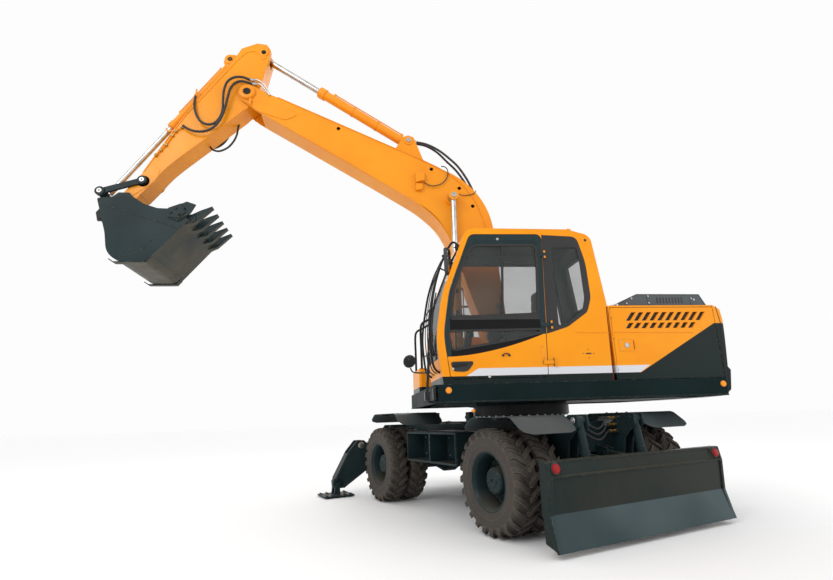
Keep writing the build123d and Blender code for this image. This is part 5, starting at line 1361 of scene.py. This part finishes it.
def draw_lockers():
    """Frames, back plates, latches and treads of the open lockers between the wheels."""
    frames, backs, latches = Shape(), Shape(), Shape()
    for side in sides:
        for x in (-1.12, -0.49):
            edge = [(x, 0.635), (x + 0.61, 0.635), (x + 0.61, 0.975), (x, 0.975)]
            frames.hoop(drawn_in(edge, -0.014), drawn_in(edge, 0.004), across, *span(side, 1.12, 1.128))
            back = [(x + 0.03, 0.67, 0.02), (x + 0.58, 0.67, 0.02), (x + 0.58, 0.945, 0.02),
                    (x + 0.03, 0.945, 0.02)]
            backs.prism(back, across, *span(side, 0.8605, 0.868))
            latches.lathe([(0.03, 0), (0.03, 0.01), (0.022, 0.014)], (x + 0.42, side * 0.868, 0.815),
                          Y * side, 20)
            low, high = span(side, 0.88, 0.886)
            latches.box((x + 0.385, low, 0.809), (x + 0.455, high, 0.821))
            for step in (0.07, 0.54):
                for z in (0.7, 0.915):
                    latches.bolt((x + step, side * 0.868, z), Y * side, 0.008, 0.006)
        low, high = span(side, 0.9, 1.118)
        for number in range(30):
            x = -1.105 + number * 0.0412
            frames.box((x, low, 0.995), (x + 0.014, high, 1.001))
            # Not under the wall between the two lockers
            if abs(x + 0.497) > 0.03:
                frames.box((x, low + 0.02, 0.635), (x + 0.014, high - 0.01, 0.64))
    pieces("chassis", True, (frames, "locker_frames", slate, 0.0015),
           (backs, "locker_backs", slate_pale, 0.002), (latches, "locker_latches", bare, 0.001))


def draw_chassis_trim():
    """Bolts of the swing bearing and the stabiliser plates, hoses along the frame, and pin ends."""
    heads, plates, lines = Shape(), Shape(), Shape()
    for turn in turns(36):
        heads.bolt((ring_bolt_circle * cos(turn), ring_bolt_circle * sin(turn), 1.1743), -Z, 0.013, 0.014)
    for x, way in ((-2.995, -X), (-2.705, X)):
        for side in sides:
            for y, z, radius in ((0.98, 0.55, 0.058), (0.12, 0.96, 0.04)):
                end_disc(plates, (x, side * y, z), way, radius, -0.012, 0.004, 0.9, 28)
                heads.bolt((x + way.x * 0.007, side * y, z), way, 0.012, 0.011)
    path = ((-2.7, 0.18, 0.985), (-2.6, 0.19, 1.06), (-2.4, 0.2, 1.094), (-1.9, 0.2, 1.094),
            (-1.2, 0.21, 1.094), (-0.7, 0.2, 1.092), (-0.54, 0.15, 1.12))
    for side in sides:
        for out in (0, 0.035):
            lines.curve([(x, side * (y + out), z) for x, y, z in path], 0.012)
        low, high = span(side, 0.18, 0.255)
        for x in (-2.2, -1.5):
            plates.box((x - 0.02, low, 1.08), (x + 0.02, high, 1.112))
            heads.bolt((x, side * 0.218, 1.112), Z, 0.009, 0.009)
    pieces("chassis", True, (heads, "chassis_bolts", bare, 0.001), (plates, "chassis_plates", slate, 0.002),
           (lines, "chassis_hoses", hose, 0))


def draw_stabilisers():
    """Edge plates and pin caps of the legs, ribs and rims of their pads."""
    edge = [(0.918, 0.47), (1.02, 0.422), (1.478, 0.135), (1.625, 0.142), (1.636, 0.228), (1.39, 0.67),
            (1.245, 0.836), (1.135, 0.836), (0.912, 0.64)]
    for side, label in ((-1, "left"), (1, "right")):
        leg, pad, caps = Shape(), Shape(), Shape()
        outline = [(side * y, z) for y, z in edge]
        for low in (-2.946, -2.76):
            leg.hoop(outline, drawn_in(outline, 0.014), along, low, low + 0.006)
        pin_y, pin_z = stabiliser_pin
        for x, way in ((-2.941, -X), (-2.759, X)):
            caps.lathe([(0.052, -0.004), (0.052, 0.006), (0.044, 0.01)], (x, side * pin_y, pin_z), way, 24)
            caps.bolt((x + way.x * 0.009, side * pin_y, pin_z), way, 0.012, 0.004)
        for number in range(5):
            y = side * (pad_middle + (number - 2) * pad_rib_spacing)
            for x in (-3.06, -2.75):
                pad.box((x, y - 0.01, 0.0362), (x + 0.11, y + 0.01, 0.052))
        for x, way in ((-2.933, -X), (-2.767, X)):
            pad.lathe([(0.04, 0), (0.04, 0.006), (0.034, 0.009)], (x, side * pad_middle, 0.165), way, 20)
        pieces(f"outrigger_{label}", True, (leg, f"stabiliser_edges_{label}", slate_pale, 0.002),
               (caps, f"stabiliser_caps_{label}", bare, 0.001))
        piece(pad, f"pad_ribs_{label}", slate_pale, f"pad_{label}", bevel=0.002, turned=True)


draw_blade_trim()
draw_bracket_pins()
draw_fenders()
draw_lockers()
draw_chassis_trim()
draw_stabilisers()


# Bucket

bucket_half = 0.55


def draw_bucket_trim():
    """Tooth caps on their noses, lip, side cutters with bolts, creases and wear strips."""
    teeth, plates, dark = Shape(), Shape(), Shape()
    cap = rounded([(-4.185, 3.655, 0.02), (-4.225, 3.752, 0.02), (-4.12, 3.81, 0.04), (-3.984, 3.868, 0.004),
                   (-3.975, 3.851, 0.004), (-4.08, 3.745, 0.05)], 3)
    nose = rounded([(-4.345, 3.575, 0.01), (-4.385, 3.6, 0.01), (-4.27, 3.735, 0.02), (-4.195, 3.752, 0.02),
                    (-4.16, 3.668, 0.03), (-4.262, 3.615, 0.05)], 3)
    for number in range(5):
        y = (number - 2) * 0.235
        teeth.prism(cap, across, y - 0.034, y + 0.034)
        plates.prism(nose, across, y - 0.052, y + 0.052)
        for side in sides:
            dark.lathe([(0.015, 0), (0.015, 0.003)], (-4.205, y + side * 0.0525, 3.705), Y * side, 14)
    plates.prism([(-4.237, 3.664), (-4.222, 3.68), (-4.275, 3.64), (-4.42, 3.448), (-4.436, 3.44),
                  (-4.428, 3.432)],
                 across, -bucket_half + 0.001, bucket_half - 0.001)
    crease = [(-5.264, 3.843), (-5.262, 3.851), (-4.366, 3.557), (-4.367, 3.549)]
    arc = [(-5.03, 3.165), (-4.93, 3.185), (-4.8, 3.235), (-4.72, 3.3), (-4.64, 3.395)]
    cutter = [(-4.5, 3.69, 0.03), (-4.49, 3.8, 0.03), (-4.33, 3.868, 0.02), (-4.27, 3.76, 0.02),
              (-4.35, 3.672, 0.02)]
    corner = [(-4.64, 3.178), (-4.693, 3.113), (-4.76, 3.113), (-5.06, 3.113), (-5.115, 3.15),
              (-5.123, 3.142), (-5.064, 3.101), (-4.76, 3.101), (-4.688, 3.103), (-4.632, 3.171)]
    for side in sides:
        dark.prism(crease, across, *span(side, bucket_half, bucket_half + 0.004))
        plates.curve(at_y(arc, side * bucket_half), 0.005, 8, 5)
        plates.prism(cutter, across, *span(side, 0.574, 0.586))
        for x, z in ((-4.45, 3.74), (-4.39, 3.8), (-4.345, 3.72), (-4.3, 3.8)):
            dark.bolt((x, side * 0.586, z), Y * side, 0.016, 0.016)
        plates.prism(corner, across, *span(side, bucket_half - 0.001, bucket_half - 0.085))
        plates.prism([(-4.44, 3.432), (-4.68, 3.13), (-4.688, 3.122), (-4.448, 3.422)], across,
                     *span(side, 0.23, 0.3))
        for x, z, y, radius in ((-5.225, 4.06, 0.199, 0.052), (-5.455, 3.85, 0.189, 0.045)):
            end_disc(teeth, (x, side * y, z), Y * side, radius, -0.003, 0.008, 0.86, 28)
            teeth.bolt((x + 0.015, side * (y + 0.011), z - 0.012), Y * side, 0.01, 0.008)
    for x, z in ((-4.56, 3.276), (-4.62, 3.2)):
        dark.box((x - 0.002, -bucket_half + 0.002, z - 0.006), (x + 0.003, bucket_half - 0.002, z - 0.0005))
    pieces("bucket", False, (teeth, "bucket_tooth_caps", black_metal, 0.004),
           (plates, "bucket_plates", bucket_paint, 0.003), (dark, "bucket_bolts", black_metal, 0.001))


draw_bucket_trim()


# Body: engine doors, hood, counterweight, skirt and tanks

body_face = 1.235
door_latch = [(0.82, 1.842, 0.02), (1.014, 1.842, 0.02), (1.014, 1.974, 0.02), (0.82, 1.974, 0.02)]


def draw_engine_doors():
    """Mesh behind the slots on a black sheet of painted shade, a folded line, and the latch in its recess, on both
    engine doors.
    """
    for side, label in ((-1, "left"), (1, "right")):
        mesh, trim, parts, mark = Shape(), Shape(), Shape(), Shape()
        face = side * body_face
        low, high = span(side, 1.196, 1.2035)
        # Black sheet behind the mesh: painted shade of the engine bay
        mesh.box((0.94, low, 2.08), (2.02, high, 2.31))
        for number in range(36):
            x = 0.955 + number * 0.03
            mesh.bar((x, side * 1.2045, 2.085), (x, side * 1.2045, 2.305), 0.0022, 6)
        trim.hoop(drawn_in(door_latch, -0.006), drawn_in(door_latch, 0.006), across,
                  *span(side, body_face - 0.002, body_face + 0.003))
        trim.prism([(0.772, 2.0575), (1.754, 2.0445), (1.754, 2.0395), (0.772, 2.0525)], across,
                   *span(side, body_face, body_face + 0.0035))
        parts.lathe([(0.03, 0), (0.03, 0.006), (0.024, 0.009), (0.022, 0.004), (0.006, 0.004)],
                    (0.915, face, 1.906), Y * side, 24)
        for z in (1.864, 1.952):
            parts.bolt((0.842, face, z), Y * side, 0.006, 0.005)
        mark.prism([(0.995, 1.858), (1.003, 1.858), (1.003, 1.958), (0.995, 1.958)], across,
                   *span(side, body_face, body_face + 0.0015))
        pieces(f"side_door_{label}", False, (mesh, f"engine_mesh_on_painted_shade_{label}", black, 0),
               (trim, f"engine_door_trim_{label}", side_yellow, 0.001),
               (parts, f"engine_door_latch_{label}", bare, 0.001),
               (mark, f"engine_door_mark_{label}", red, 0))


def draw_hood_trim():
    """Slots and straps on the hood's sides, ribs on its top, and its support rods; the slots and a sheet under the
    top ribs are black, as painted shade of the openings.
    """
    ribs, dark, metal = Shape(), Shape(), Shape()
    hood_face = 0.88
    edge = [(1.064, 2.38), (1.078, 2.48), (1.342, 2.594), (2.188, 2.59), (2.26, 2.45), (2.244, 2.38)]
    for side in sides:
        face = side * hood_face
        low, high = span(side, hood_face, hood_face + 0.002)
        for number in range(9):
            x = 1.603 + number * 0.0415
            slot = [(x, 2.478, 0.006), (x + 0.018, 2.478, 0.006), (x + 0.018, 2.555, 0.006),
                    (x, 2.555, 0.006)]
            # Black slots: painted shade of the louvre openings
            dark.prism(rounded(slot, 3), across, low, high)
        low, high = span(side, hood_face, hood_face + 0.006)
        for x, foot, head in ((1.478, 2.465, 2.592), (1.18, 2.4, 2.5), (2.06, 2.42, 2.56)):
            ribs.box((x, low, foot), (x + 0.026, high, head))
            for z in (foot + 0.018, head - 0.022):
                metal.bolt((x + 0.013, face + side * 0.006, z), Y * side, 0.008, 0.006)
        for x, z in ((2.11, 2.524), (1.27, 2.545)):
            metal.bolt((x, face, z), Y * side, 0.009, 0.008)
        ribs.tube(at_y(edge, face), 0.007, 8)
        metal.bar((0.867, side, 2.41), (0.995, side, 2.44), 0.009, 12)
        for x, z in ((0.867, 2.416), (0.995, 2.446)):
            metal.box((x - 0.012, side - 0.012, 2.371), (x + 0.012, side + 0.012, z))
    for number in range(11):
        x = 1.4 + number * 0.07
        ribs.box((x - 0.008, -0.8, 2.592), (x, 0.8, 2.604))
        ribs.box((x + 0.034, -0.8, 2.592), (x + 0.042, 0.8, 2.604))
    for number in range(7):
        y = -0.78 + number * 0.26
        ribs.box((1.385, y - 0.01, 2.5925), (2.15, y + 0.01, 2.6005))
    # Black sheet under the top ribs: painted shade of the opening below them
    dark.box((1.38, -0.79, 2.56), (2.15, 0.79, 2.566))
    # Grip behind
    ribs.curve([(2.225, -0.12, 2.41), (2.262, -0.11, 2.41), (2.268, 0, 2.41), (2.262, 0.11, 2.41),
                (2.225, 0.12, 2.41)], 0.008, 10, 5)
    pieces("hood", False, (ribs, "hood_ribs", hood_grey, 0.0015), (dark, "hood_slots_painted_shade", black, 0),
           (metal, "hood_bolts", bare, 0.001))


def draw_body_trim():
    """Lamps, folded lines and seams of the body, the skirt's lip, the counterweight's seams, and a red-brown strip
    of painted shade in the seam behind the cab.
    """
    lamps, bezels, trim, seams, shade = Shape(), Shape(), Shape(), Shape(), Shape()
    for side in sides:
        face = side * body_face
        for x, z in ((-1.179, 1.452), (2.008, 1.446)):
            bezels.lathe([(0.04, 0), (0.04, 0.006), (0.034, 0.008)], (x, face, z), Y * side, 24)
            lamps.lathe([(0.033, 0.004), (0.032, 0.018), (0.022, 0.026), (0.008, 0.028)], (x, face, z),
                        Y * side, 24)
        line = [(2.099, 2.354), (2.124, 2.157), (2.062, 1.503), (2.068, 1.503), (2.13, 2.157), (2.105, 2.354)]
        seams.prism(line, across, *span(side, body_face, body_face + 0.003))
        trim.prism([(-1.325, 1.318), (2.05, 1.318), (2.05, 1.336), (-1.325, 1.336)], across,
                   *span(side, body_face - 0.001, body_face + 0.006))
    trim.prism([(0.316, 2.061), (0.722, 2.0575), (0.722, 2.0525), (0.316, 2.056)], across,
               -body_face - 0.0035, -body_face)
    trim.prism([(-1.32, 1.322), (-1.126, 1.292), (-0.9, 1.262), (-0.88, 1.262), (-0.88, 1.318),
                (-1.32, 1.3225)],
               across, -1.205, -1.18)
    lamps.lathe([(0.02, 0), (0.02, 0.02), (0.012, 0.028)], (-0.913, -1.19, 1.247), -Z, 20)
    # Painted shade: a red-brown strip standing for the shaded gap behind the cab
    shade.prism([(0.722, 2.357), (0.694, 1.511), (0.703, 1.511), (0.731, 2.357)], across, -1.2375, -1.23)
    pieces("upper", False, (lamps, "side_lamps", amber, 0), (bezels, "side_lamp_rings", black, 0),
           (trim, "body_folds", side_yellow, 0.001), (seams, "counterweight_seams", seal, 0),
           (shade, "cab_seam_painted_shade", seam_painted_shade, 0))


def draw_tank_trim():
    """Lids, a latch and the filler cap of the right tanks, with treads on the step in front."""
    lids, parts = Shape(), Shape()
    for left, right, top in ((-1.27, -0.725, 1.85), (-0.67, 0.715, 2.29)):
        lid = [(left, 0.44, 0.03), (right, 0.44, 0.03), (right, 1.205, 0.03), (left, 1.205, 0.03)]
        lids.hoop(drawn_in(lid, -0.004), drawn_in(lid, 0.012), upward, top, top + 0.004)
    face = [(-1.24, 1.56, 0.02), (-0.755, 1.56, 0.02), (-0.755, 1.81, 0.02), (-1.24, 1.81, 0.02)]
    lids.hoop(face, drawn_in(face, 0.012), across, 1.234, 1.239)
    parts.lathe([(0.062, 0), (0.062, 0.03), (0.055, 0.04), (0.02, 0.044)], (0.3, 0.9, 2.29), Z, 32)
    parts.bar((0.235, 0.9, 2.338), (0.365, 0.9, 2.338), 0.008, 10)
    parts.lathe([(0.024, 0), (0.024, 0.006), (0.018, 0.009)], (-0.83, 1.235, 1.69), Y, 20)
    for number in range(12):
        x = -1.23 + number * 0.04
        parts.box((x, 0.52, 1.8502), (x + 0.018, 1.12, 1.8535))
    pieces("upper", False, (lids, "tank_lids", side_yellow, 0.001),
           (parts, "tank_fittings", black_metal, 0.002))


draw_engine_doors()
draw_hood_trim()
draw_body_trim()
draw_tank_trim()


# Camera, floor and light

camera_place = (-2.1215, -6.4318, 1.1721)
camera_yaw, camera_pitch, camera_roll = radians(6.948), radians(14.886), radians(-1.907)
camera_data = bpy.data.cameras.new("camera")
camera_data.sensor_width = 36
camera_data.lens = 20.895
camera = bpy.data.objects.new("camera", camera_data)
bpy.context.scene.collection.objects.link(camera)
camera.location = camera_place
aim = Vector((sin(camera_yaw) * cos(camera_pitch), cos(camera_yaw) * cos(camera_pitch), sin(camera_pitch)))
right = Vector((cos(camera_yaw), -sin(camera_yaw), 0))
up = right.cross(aim)
rolled_right = right * cos(camera_roll) + up * sin(camera_roll)
rolled_up = up * cos(camera_roll) - right * sin(camera_roll)
camera.rotation_mode = "QUATERNION"
camera.rotation_quaternion = Matrix((rolled_right, rolled_up, -aim)).transposed().to_quaternion()
bpy.context.scene.camera = camera

floor_half = 120
floor_corners = [(-floor_half, -floor_half, 0), (floor_half, -floor_half, 0), (floor_half, floor_half, 0),
                 (-floor_half, floor_half, 0)]
floor_data = bpy.data.meshes.new("floor")
floor_data.from_pydata(floor_corners, [], [(0, 1, 2, 3)])
floor = bpy.data.objects.new("floor", floor_data)
floor.location.z = -0.002
bpy.context.scene.collection.objects.link(floor)
floor_finish = Nodes("floor_white", Roughness=0.8)
floor_finish.colour(floor_finish.mix(floor_finish.noise(0.6), (0.975, 0.975, 0.975, 1),
                                     (0.985, 0.985, 0.985, 1)))
floor_data.materials.append(floor_finish.material)

world = bpy.data.worlds.new("studio")
bpy.context.scene.world = world
world.use_nodes = True
background = world.node_tree.nodes["Background"].inputs
background["Color"].default_value = (1, 1, 1, 1)
background["Strength"].default_value = 0.98

lights = (
    # name, place, aim, size, power
    ("key", (-9.0, -10.0, 9.5), (-1.5, 0, 2.5), 5.0, 420),
    ("fill", (9.0, -9.0, 5.0), (0.5, 0, 1.5), 6.0, 150),
    ("back", (2.0, 11.0, 10.0), (-0.5, 0, 3.0), 6.0, 150),
)
for name, place, target, size, power in lights:
    data = bpy.data.lights.new(name, "AREA")
    data.size = size
    data.energy = power
    light = bpy.data.objects.new(name, data)
    light.location = place
    light.rotation_mode = "QUATERNION"
    light.rotation_quaternion = (Vector(target) - Vector(place)).to_track_quat("-Z", "Y")
    bpy.context.scene.collection.objects.link(light)
bpy.context.scene.view_settings.view_transform = "Standard"
